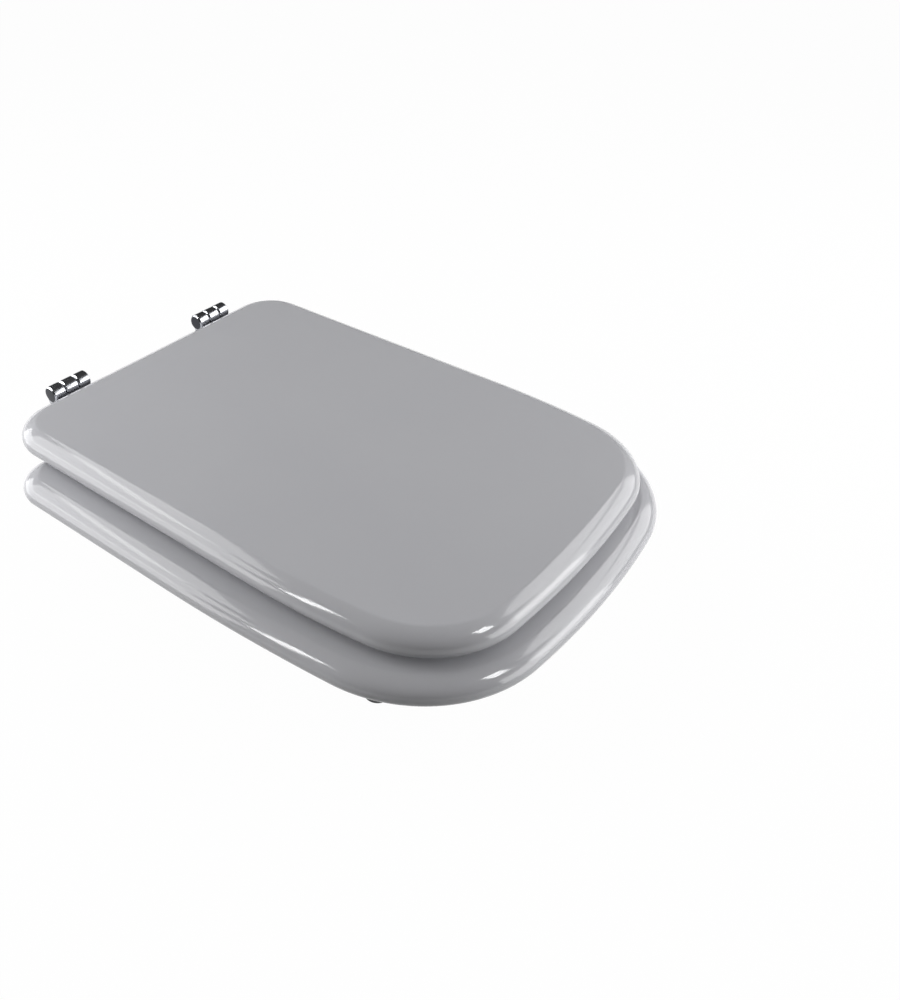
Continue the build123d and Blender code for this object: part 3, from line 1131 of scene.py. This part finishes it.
@dataclass
class Hinge:
    """Three-knuckle hinge of one side: post with a cup, cranked leaf of the seat and hooked leaf of the lid.

    The shapes are those of the right side, mirrored for the left. Stations run across the hinge from its
    middle. The ease keeps the sides of joined shapes out of one plane, the core is the radius at which
    turned shapes are capped, and cutters overshoot what they cut.
    """

    side: Side
    middle: float
    axis: Pair
    ease: float = 0.02
    core: float = 1.0
    overshoot: float = 1.0
    around: int = 96
    margin: float = 0.4
    barrel_radius: float = 7.5
    knuckle_bevel: float = 1.2
    knuckle_round: float = 0.4
    post_half: float = 6.5
    side_start: float = 6.8
    arm_start: float = 12.7
    side_end: float = 19.1
    bore_radius: float = 3.04
    bore_end: float = 15.6
    bar_edge: float = 0.8
    bar_steps: int = 5
    bar_around: int = 220
    bar_root: float = 5.5
    neck_half: float = 5.0
    neck: tuple[Round, ...] = ((18.0, 29.0, 4.5), (5.4, 16.5, 4.45))
    neck_root: float = 6.0
    arm: tuple[Round, ...] = ((15.5, 30.0, 3.5), (-16.0, 8.25, 1.73))
    heel: Round = (15.5, 34.02, 3.5)
    plate: float = 3.5
    plate_bevel: float = 0.7
    plate_crest: float = 0.25
    plate_steps: int = 4
    plate_around: int = 260
    bulge: float = 8.5
    tip: float = 6.5
    root_round: float = 1.4
    shoulder: Pair = (3.0, 12.0)
    shoulder_round: float = 2.0
    lid_strip_half: float = 5.25
    waist: float = 3.0
    seat_low: float = 10.0
    lid_low: float = 34.0
    seat_holes: Pair = (-37.0, -57.0)
    lid_holes: Pair = (-5.0, -25.0)
    hole_radius: float = 2.1
    hole_mouth: float = 4.15
    hole_rim: float = 0.3
    cup_low: float = 10.0
    cup_high: float = 23.0
    cup_roof: float = 12.0
    cup_hollow: float = 10.2
    cup_radius: float = 10.0
    cup_rim: float = 11.5
    cup_rim_height: float = 2.0
    cup_flare: float = 6.5
    socket_top: float = 19.0
    socket_radius: float = 2.35

    @property
    def seat_leaf_x(self) -> float:
        """Middle of the seat leaf."""
        return self.middle + (self.arm_start + self.side_end) / 2

    @property
    def lid_leaf_x(self) -> float:
        """Middle of the lid leaf."""
        return self.middle - (self.side_start + self.side_end) / 2

    def knuckle(self, start: float, end: float) -> Shell:
        """Turned knuckle with bevelled ends.

        Args:
            start: Station of its first end.
            end: Station of its other end.

        Returns:
            Its surface.
        """
        low, high = self.middle + start, self.middle + end
        outer, bevel, soft = self.barrel_radius, self.knuckle_bevel, self.knuckle_round
        profile = rounded(
            [
                (self.core, low, 0.0),
                (outer - bevel, low, soft),
                (outer, low + bevel, soft),
                (outer, high - bevel, soft),
                (outer - bevel, high, soft),
                (self.core, high, 0.0),
            ]
        )
        return lathe(profile, Stand.ACROSS, self.axis, self.around)

    def bore(self, start: float, end: float) -> Shell:
        """Cutter for the pin between two stations."""
        return cutter(self.bore_radius, self.middle + start, self.middle + end, Stand.ACROSS, self.axis)

    def bar(self, start: float, end: float, root: float, knees: tuple[Round, ...]) -> Shell:
        """Bar with round edges from the barrel's axis past its knees.

        Args:
            start: Station of its first side.
            end: Station of its other side.
            root: Its radius at the barrel's axis.
            knees: Centre and radius of each knee.

        Returns:
            Its surface.
        """
        low, high = self.middle + start + self.ease, self.middle + end - self.ease
        section = edge_section(low, high, self.bar_edge, self.bar_edge, self.bar_steps)
        outline = chain([(*self.axis, root), *knees])
        return slab(outline, section, Stand.ACROSS, self.bar_around, self.margin)

    def leaf(self, arcs: list[Arc], x: float, low: float) -> Shell:
        """Flat plate with round edges, of which the lower is the larger.

        Args:
            arcs: Its plan about its own middle.
            x: Where its middle stands.
            low: Height of its underside.

        Returns:
            Its surface.
        """
        section = edge_section(low, low + self.plate, self.plate_bevel, self.plate_crest, self.plate_steps)
        flat = slab(Outline(tuple(arcs)), section, Stand.UPRIGHT, self.plate_around, self.margin)
        return flat.moved(x)

    def tongue(self, holes: Pair) -> tuple[Arc, float]:
        """Round tip of a leaf, and the angle at which its sides leave the bulge round the first hole."""
        lean = math.asin((self.bulge - self.tip) / (holes[0] - holes[1]))
        return Arc((0.0, holes[1]), self.tip, lean - math.pi, -lean), -lean

    def holes(self, x: float, places: Pair, low: float) -> list[Shell]:
        """Cutters for the countersunk holes of a leaf.

        Args:
            x: Middle of the leaf.
            places: Place of each hole along y.
            low: Height of the leaf's underside.

        Returns:
            A cutter for each hole.
        """
        rim = low + self.hole_rim
        profile = np.array(
            [
                (self.hole_mouth, low - self.overshoot),
                (self.hole_mouth, rim),
                (self.hole_radius, rim + self.hole_mouth - self.hole_radius),
                (self.hole_radius, low + self.plate + self.overshoot),
            ]
        )
        return [lathe(profile, Stand.UPRIGHT, (x, y), CUTTER_AROUND) for y in places]

    def add(
        self, name: str, node: str, body: Body, palette: Palette, shells: list[Shell], cuts: list[Shell]
    ) -> None:
        """Mirrors shapes to this side and makes one chrome piece of them.

        Args:
            name: Name of the piece, without its side.
            node: Solid that it replaces, without its side.
            body: Body that it rides on.
            palette: Finishes of the seat.
            shells: Surfaces that are joined.
            cuts: Surfaces that are cut out of them.
        """
        add_piece(
            f"{self.side.prefix}_{name}",
            f"{self.side.prefix}_{node}",
            body,
            palette.chrome,
            [shell.mirrored(self.side) for shell in shells],
            [cut.mirrored(self.side) for cut in cuts],
            fused=True,
        )

    def build(self, palette: Palette) -> None:
        """Builds the post and both leaves."""
        self.build_post(palette)
        self.build_seat_leaf(palette)
        self.build_lid_leaf(palette)

    def build_post(self, palette: Palette) -> None:
        """Middle knuckle, bent neck, and a cup that flares to a rim and is hollow below.

        Args:
            palette: Finishes of the seat.
        """
        low, place = self.cup_low, (self.middle, 0.0)
        cup = rounded(
            [
                (self.core, self.cup_roof, 0.0),
                (self.cup_hollow, self.cup_roof, 0.2),
                (self.cup_hollow, low, 0.15),
                (self.cup_rim, low, 0.3),
                (self.cup_rim, low + self.cup_rim_height, 0.5),
                (self.cup_radius, low + self.cup_flare, 3.0),
                (self.cup_radius, self.cup_high, 1.2),
                (self.core, self.cup_high, 0.0),
            ]
        )
        shells = [
            lathe(cup, Stand.UPRIGHT, place, self.around),
            self.bar(-self.neck_half, self.neck_half, self.neck_root, self.neck),
            self.knuckle(-self.post_half, self.post_half),
        ]
        mouth, reach = self.cup_roof - self.overshoot, self.post_half + self.overshoot
        cuts = [
            cutter(self.socket_radius, mouth, self.socket_top, Stand.UPRIGHT, place),
            self.bore(-reach, reach),
        ]
        self.add("post_casting", "post", Body.POSTS, palette, shells, cuts)

    def build_seat_leaf(self, palette: Palette) -> None:
        """Outer knuckle, bent arm, and a plate whose shoulders widen from the arm to the first screw.

        Args:
            palette: Finishes of the seat.
        """
        tip, lean = self.tongue(self.seat_holes)
        half = (self.side_end - self.arm_start) / 2
        bend, first = self.arm[1][0], self.seat_holes[0]
        narrow, wide = (bend - run for run in self.shoulder)
        right = [(self.bulge, first), (self.bulge, wide), (half, narrow), (half, bend)]
        loop = right + [(-x, y) for x, y in reversed(right)]
        soft, root = self.shoulder_round, self.root_round
        radii = (soft, soft, root, root, soft, soft)
        arcs = [
            tip,
            Arc((0.0, first), self.bulge, lean, 0.0),
            *(corner_arc(*corner) for corner in zip(loop, loop[1:], loop[2:], radii)),
            Arc((0.0, first), self.bulge, math.pi, math.pi - lean),
        ]
        low = self.seat_low - self.plate
        shells = [
            self.knuckle(self.side_start, self.side_end),
            self.bar(self.arm_start, self.side_end, self.bar_root, self.arm),
            self.leaf(arcs, self.seat_leaf_x, low),
        ]
        bore = self.bore(self.side_start - self.overshoot, self.bore_end)
        cuts = [bore, *self.holes(self.seat_leaf_x, self.seat_holes, low)]
        self.add("seat_strap", "seat_leaf", Body.SEAT, palette, shells, cuts)

    def build_lid_leaf(self, palette: Palette) -> None:
        """Inner knuckle, bar down behind the lid, and a strip that swells round its two screws.

        The waist between strip and bulge is an inward arc that touches the strip's side and the bulge.

        Args:
            palette: Finishes of the seat.
        """
        tip, lean = self.tongue(self.lid_holes)
        half, first, waist = self.lid_strip_half, self.lid_holes[0], self.waist
        rear = self.heel[0]
        rise = math.sqrt((self.bulge + waist) ** 2 - (half + waist) ** 2)
        swell = math.atan2(rise, half + waist)
        arcs = [
            tip,
            Arc((0.0, first), self.bulge, lean, swell),
            Arc((half + waist, first + rise), -waist, swell, 0.0),
            corner_arc((half, first), (half, rear), (-half, rear), self.root_round),
            corner_arc((half, rear), (-half, rear), (-half, first), self.root_round),
            Arc((-half - waist, first + rise), -waist, math.pi, math.pi - swell),
            Arc((0.0, first), self.bulge, math.pi - swell, math.pi - lean),
        ]
        low = self.lid_low - self.plate
        across = self.lid_leaf_x - self.middle
        shells = [
            self.knuckle(-self.side_end, -self.side_start),
            self.bar(across - half, across + half, self.bar_root, (self.heel,)),
            self.leaf(arcs, self.lid_leaf_x, low),
        ]
        bore = self.bore(-self.bore_end, self.overshoot - self.side_start)
        cuts = [bore, *self.holes(self.lid_leaf_x, self.lid_holes, low)]
        self.add("lid_strap", "lid_leaf", Body.LID, palette, shells, cuts)


@dataclass
class ScrewSet:
    """Countersunk screws of one solid, all pointing up, with a cross recess, a thread and a pointed tip.

    Widths of the tip and the recess are shares of the screw's and the head's radius.
    """

    node: str
    body: Body
    places: list[Pair]
    head_z: float
    length: float
    radius: float
    head: float
    rim: float = 0.4
    head_edge: Pair = (0.15, 0.1)
    tip: float = 4.0
    tip_share: float = 0.03
    tip_gap: float = 0.05
    pitch: float = 1.6
    thread_depth: float = 0.3
    thread_run_in: float = 2.0
    thread_run_out: float = 1.5
    rings_per_turn: int = 10
    around: int = 28
    recess_depth: float = 1.3
    recess_width: float = 0.9
    recess_reach: float = 0.55
    recess_shares: Pair = (1.15, 0.6)
    overshoot: float = 0.3

    def screw(self, x: float, y: float) -> Shell:
        """Rings of the head, then of a thread that fades in behind the head and out at the tip.

        Args:
            x: Place of the screw along x.
            y: Place of the screw along y.

        Returns:
            Its surface.
        """
        low, end = self.head_z, self.head_z + self.length
        cone = low + self.rim + self.head - self.radius
        inset, rise = self.head_edge
        head = np.array([(self.head - inset, low), (self.head, low + rise), (self.head, low + self.rim)])
        stations = np.arange(cone, end - self.tip_gap, self.pitch / self.rings_per_turn)
        taper = np.clip((end - stations) / self.tip, self.tip_share, 1.0)
        run_in = np.clip((stations - cone) / self.thread_run_in, 0.0, 1.0)
        run_out = np.minimum(taper * self.thread_run_out, 1.0)
        heights = np.concatenate([head[:, 1], stations])
        radii = np.concatenate([head[:, 0], self.radius * taper])
        depths = np.concatenate([np.zeros(len(head)), self.thread_depth * (run_in * run_out)])
        return stacked(threaded_rod(heights, radii, depths, self.pitch, self.around)).moved(x, y)

    def recess(self, x: float, y: float) -> list[Shell]:
        """Two crossed wedges that narrow with depth.

        Args:
            x: Place of the screw along x.
            y: Place of the screw along y.

        Returns:
            A cutter for each wedge.
        """
        reach, half = self.head * self.recess_reach, self.recess_width / 2
        heights = (self.head_z - self.overshoot, self.head_z + self.recess_depth)
        cutters = []
        for long_x, long_y in ((reach, half), (half, reach)):
            corners = np.array([(-1, -1), (1, -1), (1, 1), (-1, 1)]) * (long_x, long_y)
            ends = zip(self.recess_shares, heights)
            rings = [np.column_stack([corners * share, np.full(4, height)]) for share, height in ends]
            cutters.append(stacked(np.stack(rings)).moved(x, y))
        return cutters

    def build(self, palette: Palette) -> None:
        """Builds all screws of the solid as one piece.

        Args:
            palette: Finishes of the seat.
        """
        shells = [self.screw(*place) for place in self.places]
        cuts = [wedge for place in self.places for wedge in self.recess(*place)]
        add_piece(f"{self.node}_cut", self.node, self.body, palette.zinc, shells, cuts)


@dataclass
class Fixings:
    """Collar, gasket, stud, washers and wing nut that hold one post to the deck of the bowl.

    Turned shapes are tables of the radius, height and rounding of each corner. A wing is a table of the
    place and radius of its two circles.
    """

    side: Side
    middle: float
    collar: tuple[Round, ...] = (
        (3.0, 1.0, 0.3),
        (10.0, 1.0, 0.6),
        (10.0, 8.8, 0.4),
        (9.7, 9.1, 0.2),
        (9.7, 12.0, 0.3),
        (3.0, 12.0, 0.3),
    )
    gasket: tuple[Round, ...] = ((3.0, 0.0, 0.2), (10.5, 0.0, 0.4), (10.5, 1.0, 0.4), (3.0, 1.0, 0.2))
    clamp_washer: tuple[Round, ...] = (
        (2.8, -22.0, 0.3),
        (12.0, -22.0, 0.6),
        (10.5, -18.0, 0.6),
        (2.8, -18.0, 0.3),
    )
    flat_washer: tuple[Round, ...] = (
        (2.8, -23.2, 0.15),
        (8.0, -23.2, 0.15),
        (8.0, -22.0, 0.35),
        (2.8, -22.0, 0.35),
    )
    ring_around: int = 80
    stud: Pair = (-44.2, 18.5)
    shank: Pair = (-17.5, 0.0)
    shank_radius: float = 2.5
    shank_step: float = 0.02
    thread_radius: float = 2.3
    thread_depth: float = 0.22
    thread_run_in: float = 0.8
    stud_bevel: float = 0.6
    pitch: float = 0.8
    rings_per_turn: int = 8
    stud_around: int = 32
    boss: tuple[Round, ...] = (
        (1.0, -29.7, 0.0),
        (4.2, -29.7, 0.6),
        (5.5, -23.8, 0.4),
        (5.5, -23.2, 0.2),
        (1.0, -23.2, 0.0),
    )
    boss_around: int = 64
    nut_bore: float = 2.35
    nut_cut: Pair = (-35.7, -22.2)
    wing: tuple[Round, ...] = ((3.0, -26.45, 2.4), (9.4, -31.6, 3.6))
    wing_half: float = 1.2
    wing_edge: float = 0.7
    wing_steps: int = 5
    wing_around: int = 120
    wing_margin: float = 0.3

    def add(
        self,
        node: str,
        finish: Finish,
        shells: Sequence[Shell],
        cuts: Sequence[Shell] = (),
        fused: bool = False,
    ) -> None:
        """Moves shapes to this side's post and makes a piece of them.

        Args:
            node: Solid that it replaces, without its side.
            finish: Its finish.
            shells: Its surfaces.
            cuts: Surfaces to cut out of it.
            fused: Whether its surfaces are made one skin.
        """
        name = f"{self.side.prefix}_{node}"
        place = self.middle * self.side.value
        placed = [shell.moved(place) for shell in shells]
        placed_cuts = [cut.moved(place) for cut in cuts]
        add_piece(f"{name}_turned", name, Body.POSTS, finish, placed, placed_cuts, fused)

    def build(self, palette: Palette) -> None:
        """Builds the rings from the top down, then the stud and its nut.

        Args:
            palette: Finishes of the seat.
        """
        rings = (
            ("spacer", palette.plastic, self.collar),
            ("gasket", palette.black_rubber, self.gasket),
            ("clamp_washer", palette.black_rubber, self.clamp_washer),
            ("flat_washer", palette.zinc, self.flat_washer),
        )
        for node, finish, corners in rings:
            profile = rounded(corners, closed=True)
            ring = lathe(profile, Stand.UPRIGHT, CENTRE, self.ring_around, closed=True)
            self.add(node, finish, [ring])
        self.build_stud(palette)
        self.build_nut(palette)

    def build_stud(self, palette: Palette) -> None:
        """Rod with a thread above and below, bevelled ends, and a plain shank through the deck.

        Args:
            palette: Finishes of the seat.
        """
        low, high = self.stud
        shank_low, shank_high = self.shank
        edges = [shank_low - self.shank_step, shank_low, shank_high, shank_high + self.shank_step, high]
        stations = np.arange(low, high, self.pitch / self.rings_per_turn)
        stations = np.sort(np.concatenate([stations, edges]))
        half_step = self.shank_step / 2
        plain = (stations > shank_low - half_step) & (stations < shank_high + half_step)
        to_end = np.minimum(stations - low, high - stations)
        bevelled = self.thread_radius - np.clip(self.stud_bevel - to_end, 0, self.stud_bevel)
        radii = np.where(plain, self.shank_radius, bevelled)
        depths = np.where(plain, 0.0, self.thread_depth * np.clip(to_end / self.thread_run_in, 0, 1))
        rod = stacked(threaded_rod(stations, radii, depths, self.pitch, self.stud_around))
        self.add("stud", palette.zinc, [rod])

    def build_nut(self, palette: Palette) -> None:
        """Conical boss with two wings that sweep away from the deck.

        Args:
            palette: Finishes of the seat.
        """
        boss = lathe(rounded(self.boss), Stand.UPRIGHT, CENTRE, self.boss_around)
        half, edge = self.wing_half, self.wing_edge
        section = edge_section(-half, half, edge, edge, self.wing_steps)
        wing = slab(chain(self.wing), section, Stand.ALONG, self.wing_around, self.wing_margin)
        hole = cutter(self.nut_bore, *self.nut_cut, Stand.UPRIGHT, CENTRE)
        self.add("wing_nut", palette.zinc, [boss, wing, wing.mirrored(Side.LEFT)], [hole], fused=True)


@dataclass
class Buffers:
    """Rubber feet under the ring and buttons under the lid.

    The groove is a table of the radius, height and rounding of each corner, and the barb one of the share
    of the stem's radius and the height above the lid's underside.
    """

    height: float = 10.0
    radius: float = 10.0
    foot_radius: float = 9.0
    groove: tuple[Round, ...] = ((5.2, 0.0, 0.3), (5.5, 0.7, 0.3), (6.6, 0.7, 0.3), (6.9, 0.0, 0.3))
    lip_step: float = 0.15
    lip_slope: float = 0.2
    lip_height: float = 1.3
    mouth: float = 3.6
    hole: float = 1.85
    head_z: float = 2.85
    head_rim: float = 0.4
    web_z: float = 5.0
    foot_around: int = 72
    button_radius: float = 7.0
    stem_radius: float = 3.0
    barb: tuple[Pair, ...] = ((0.85, 0.0), (0.85, 3.0), (1.0, 4.2))
    barb_tip: float = 0.7
    button_around: int = 64

    def foot(self) -> Shell:
        """Tapered foot with a well for its screw and a round groove in its sole.

        Returns:
            Its surface, with its sole at height 0.
        """
        lip = self.height - self.lip_height
        corners = [
            (self.mouth, 0.0, 0.5),
            *self.groove,
            (self.foot_radius, 0.0, 1.4),
            (self.radius - self.lip_step, lip - self.lip_slope, 0.2),
            (self.radius, lip, 0.2),
            (self.radius, self.height, 0.2),
            (self.hole, self.height, 0.1),
            (self.hole, self.web_z, 0.2),
            (self.mouth, self.head_z + self.head_rim, 0.2),
        ]
        return lathe(rounded(corners, closed=True), Stand.UPRIGHT, CENTRE, self.foot_around, closed=True)

    def button(self, low: float, seat: float, high: float) -> Shell:
        """Flat button with a stem that swells to a barb.

        Args:
            low: Height of its sole.
            seat: Height of the lid's underside.
            high: Height of the stem's tip.

        Returns:
            Its surface.
        """
        stem = self.stem_radius
        base, neck, widest = ((stem * share, seat + rise) for share, rise in self.barb)
        corners = [
            (1.0, low, 0.0),
            (self.button_radius, low, 1.0),
            (self.button_radius, seat, 0.15),
            (*base, 0.2),
            (*neck, 0.3),
            (*widest, 0.3),
            (stem * self.barb_tip, high, 0.3),
            (0.5, high, 0.0),
        ]
        return lathe(rounded(corners), Stand.UPRIGHT, CENTRE, self.button_around)

    def build(self, palette: Palette) -> None:
        """Stands a foot at each corner of the ring and a button at each front corner of the lid.

        Args:
            palette: Finishes of the seat.
        """
        lid_low = node_box("lid_board")[0][2]
        for side in Side:
            for row in ROWS:
                node = f"{side.prefix}_{row}_buffer"
                shell = self.foot().moved(*node_middle(node), node_box(node)[0][2])
                add_piece(f"{node}_foot", node, Body.SEAT, palette.grey_rubber, [shell])
            node = f"{side.prefix}_lid_buffer"
            low, high = node_box(node)
            shell = self.button(low[2], lid_low, high[2]).moved(*node_middle(node))
            add_piece(f"{node}_button", node, Body.LID, palette.grey_rubber, [shell])


def build_hinges(palette: Palette) -> None:
    """Builds both hinges on the record's joint axis, with their fixings and all screws.

    Args:
        palette: Finishes of the seat.
    """
    axis = np.array(frame["record"]["behaviour"]["joints"][0]["pos_m"][1:]) / MM
    middle = float(node_middle("right_post")[0])
    hinges = [Hinge(side, middle, tuple(axis)) for side in Side]
    for hinge in hinges:
        hinge.build(palette)
        Fixings(hinge.side, middle).build(palette)
    right = hinges[0]
    seat_places = [(right.seat_leaf_x * side.value, y) for side in Side for y in right.seat_holes]
    lid_places = [(right.lid_leaf_x * side.value, y) for side in Side for y in right.lid_holes]
    foot_places = [tuple(node_middle(f"{side.prefix}_{row}_buffer")) for side in Side for row in ROWS]
    board_screw = {"length": 15.0, "radius": 2.0, "head": 4.0}
    foot_screw = {"length": 16.0, "radius": 1.75, "head": 3.5}
    seat_head, lid_head = right.seat_low - right.plate, right.lid_low - right.plate
    screw_sets = (
        ScrewSet("seat_leaf_screws", Body.SEAT, seat_places, seat_head, **board_screw),
        ScrewSet("lid_leaf_screws", Body.LID, lid_places, lid_head, **board_screw),
        ScrewSet("seat_buffer_screws", Body.SEAT, foot_places, Buffers.head_z, **foot_screw),
    )
    for screws in screw_sets:
        screws.build(palette)


# Studio


@dataclass
class Lamp:
    """Rectangular lamp that faces the middle of the seat from a direction.

    A glint lamp shows in reflections but doesn't light matt surfaces.
    """

    name: str
    direction: tuple[float, float, float]
    distance: float
    size: Pair
    radiance: float
    glint: bool = False

    def build(self, target: Vector) -> None:
        """Places the lamp. Its power is its radiance times pi times its area.

        Args:
            target: Place that it faces.
        """
        data = bpy.data.lights.new(self.name, "AREA")
        data.shape = "RECTANGLE"
        data.size, data.size_y = self.size
        data.energy = self.radiance * math.pi * self.size[0] * self.size[1]
        lamp = bpy.data.objects.new(self.name, data)
        bpy.context.scene.collection.objects.link(lamp)
        heading = Vector(self.direction).normalized()
        lamp.location = target + heading * self.distance
        lamp.rotation_euler = heading.to_track_quat("Z", "Y").to_euler()
        lamp.visible_diffuse = not self.glint


@dataclass
class Studio:
    """Pale floor, soft lamps, dim room and the camera of the photograph's view."""

    photo_height: float = 1000.0
    photo_width: float = 900.0
    focal_pixels: float = 942.74
    principal_x: float = 340.0
    camera_place: tuple[float, float, float] = (-0.4784, -0.6080, 0.4731)
    camera_tilt: float = 51.96
    camera_heading: float = -50.65
    sensor: float = 36.0
    floor_size: float = 120.0
    floor_drop: float = 0.0005
    floor_white: float = 0.98
    floor_paint: float = 0.95
    floor_bounce: float = 0.08
    room_level: float = 0.035
    ceiling_level: float = 0.03
    ceiling_rise: Pair = (0.35, 0.95)
    target: tuple[float, float, float] = (0.0, -0.22, 0.03)
    lamps: tuple[Lamp, ...] = (
        Lamp("left_low_softbox", (-0.577, 0.794, 0.191), 1.3, (1.5, 0.62), 4.1),
        Lamp("left_softbox", (-0.516, 0.661, 0.545), 1.3, (0.8, 0.5), 3.4),
        Lamp("rear_softbox", (-0.184, 0.643, 0.743), 1.3, (0.9, 0.4), 3.0),
        Lamp("front_low_softbox", (0.336, -0.922, 0.191), 1.3, (1.0, 0.62), 4.0),
        Lamp("front_softbox", (0.698, -0.629, 0.342), 1.3, (1.1, 0.5), 3.1),
        Lamp("right_softbox", (0.663, -0.383, 0.643), 1.3, (0.9, 0.36), 3.0),
        Lamp("left_window", (-0.72, 0.325, 0.612), 1.77, (0.16, 0.55), 16.0, glint=True),
        Lamp("front_window", (0.122, -0.675, 0.727), 1.64, (0.3, 0.3), 15.0, glint=True),
    )

    def build(self) -> None:
        """Builds the camera, the lamps, the room and the floor."""
        self.add_camera()
        for lamp in self.lamps:
            lamp.build(Vector(self.target))
        self.add_room()
        self.add_floor()
        bpy.context.scene.view_settings.view_transform = "Standard"

    def add_camera(self) -> None:
        """Camera whose focal length and sideways shift come from the photograph's pixels."""
        data = bpy.data.cameras.new("camera")
        data.sensor_width = self.sensor
        data.lens = self.focal_pixels * self.sensor / self.photo_height
        data.shift_x = (self.photo_width / 2 - self.principal_x) / self.photo_height
        camera = bpy.data.objects.new("camera", data)
        camera.location = self.camera_place
        camera.rotation_euler = (math.radians(self.camera_tilt), 0.0, math.radians(self.camera_heading))
        bpy.context.scene.collection.objects.link(camera)
        bpy.context.scene.camera = camera

    def add_room(self) -> None:
        """Dark room that grows paler towards the ceiling."""
        world = bpy.data.worlds.new("room")
        world.use_nodes = True
        graph = Graph(world.node_tree)
        heading = graph.add("ShaderNodeTexCoord").outputs["Generated"]
        parts = graph.add("ShaderNodeSeparateXYZ", {"Vector": heading})
        ceiling = graph.ramp(parts.outputs["Z"], *self.ceiling_rise)
        level = graph.spread(ceiling, self.room_level, self.room_level + self.ceiling_level)
        background = graph.add("ShaderNodeBackground", {"Color": WHITE, "Strength": level})
        graph.add("ShaderNodeOutputWorld", {"Surface": background.outputs[0]})
        bpy.context.scene.world = world

    def add_floor(self) -> None:
        """Large plane just below the studs, white to the camera and in reflections, dull to other light."""
        half = self.floor_size / 2
        drop = cad_box[0][2] - self.floor_drop
        corners = [(-half, -half, drop), (half, -half, drop), (half, half, drop), (-half, half, drop)]
        mesh = bpy.data.meshes.new("floor")
        mesh.from_pydata(corners, [], [(0, 1, 2, 3)])
        material = bpy.data.materials.new("pale_floor")
        material.use_nodes = True
        graph = Graph(material.node_tree)
        path = graph.add("ShaderNodeLightPath")
        mirrored = graph.math("MAXIMUM", path.outputs["Is Glossy Ray"], path.outputs["Is Transmission Ray"])
        seen = graph.math("MAXIMUM", path.outputs["Is Camera Ray"], mirrored)
        dull = (*(self.floor_bounce,) * 3, 1.0)
        pale = (*(self.floor_paint,) * 3, 1.0)
        paint = graph.add("ShaderNodeBsdfDiffuse", {"Color": graph.blend(seen, dull, pale)})
        white = graph.add("ShaderNodeEmission", {"Color": WHITE, "Strength": 1.0})
        share = graph.math("MULTIPLY", seen, self.floor_white)
        mixed = graph.add("ShaderNodeMixShader", {0: share, 1: paint.outputs[0], 2: white.outputs[0]})
        graph.add("ShaderNodeOutputMaterial", {"Surface": mixed.outputs[0]})
        mesh.materials.append(material)
        floor = bpy.data.objects.new("floor", mesh)
        bpy.context.scene.collection.objects.link(floor)


def dress_solids(palette: Palette) -> None:
    """Gives every solid of the frame the finish of its slot.

    Args:
        palette: Finishes of the seat.
    """
    for subpart in frame["record"]["subparts"]:
        mesh = frame["nodes"][subpart["node"]].data
        mesh.materials.clear()
        mesh.materials.append(palette.for_slot(subpart["material_slot"]).material)


def main() -> None:
    """Builds the finishes, the pieces and the studio, in that order."""
    logging.basicConfig(level=logging.INFO, format="%(message)s")
    palette = Palette.build()
    dress_solids(palette)
    LidBoard().build(palette)
    SeatRing().build(palette)
    build_hinges(palette)
    Buffers().build(palette)
    Studio().build()


if __name__ == "__main__":
    main()
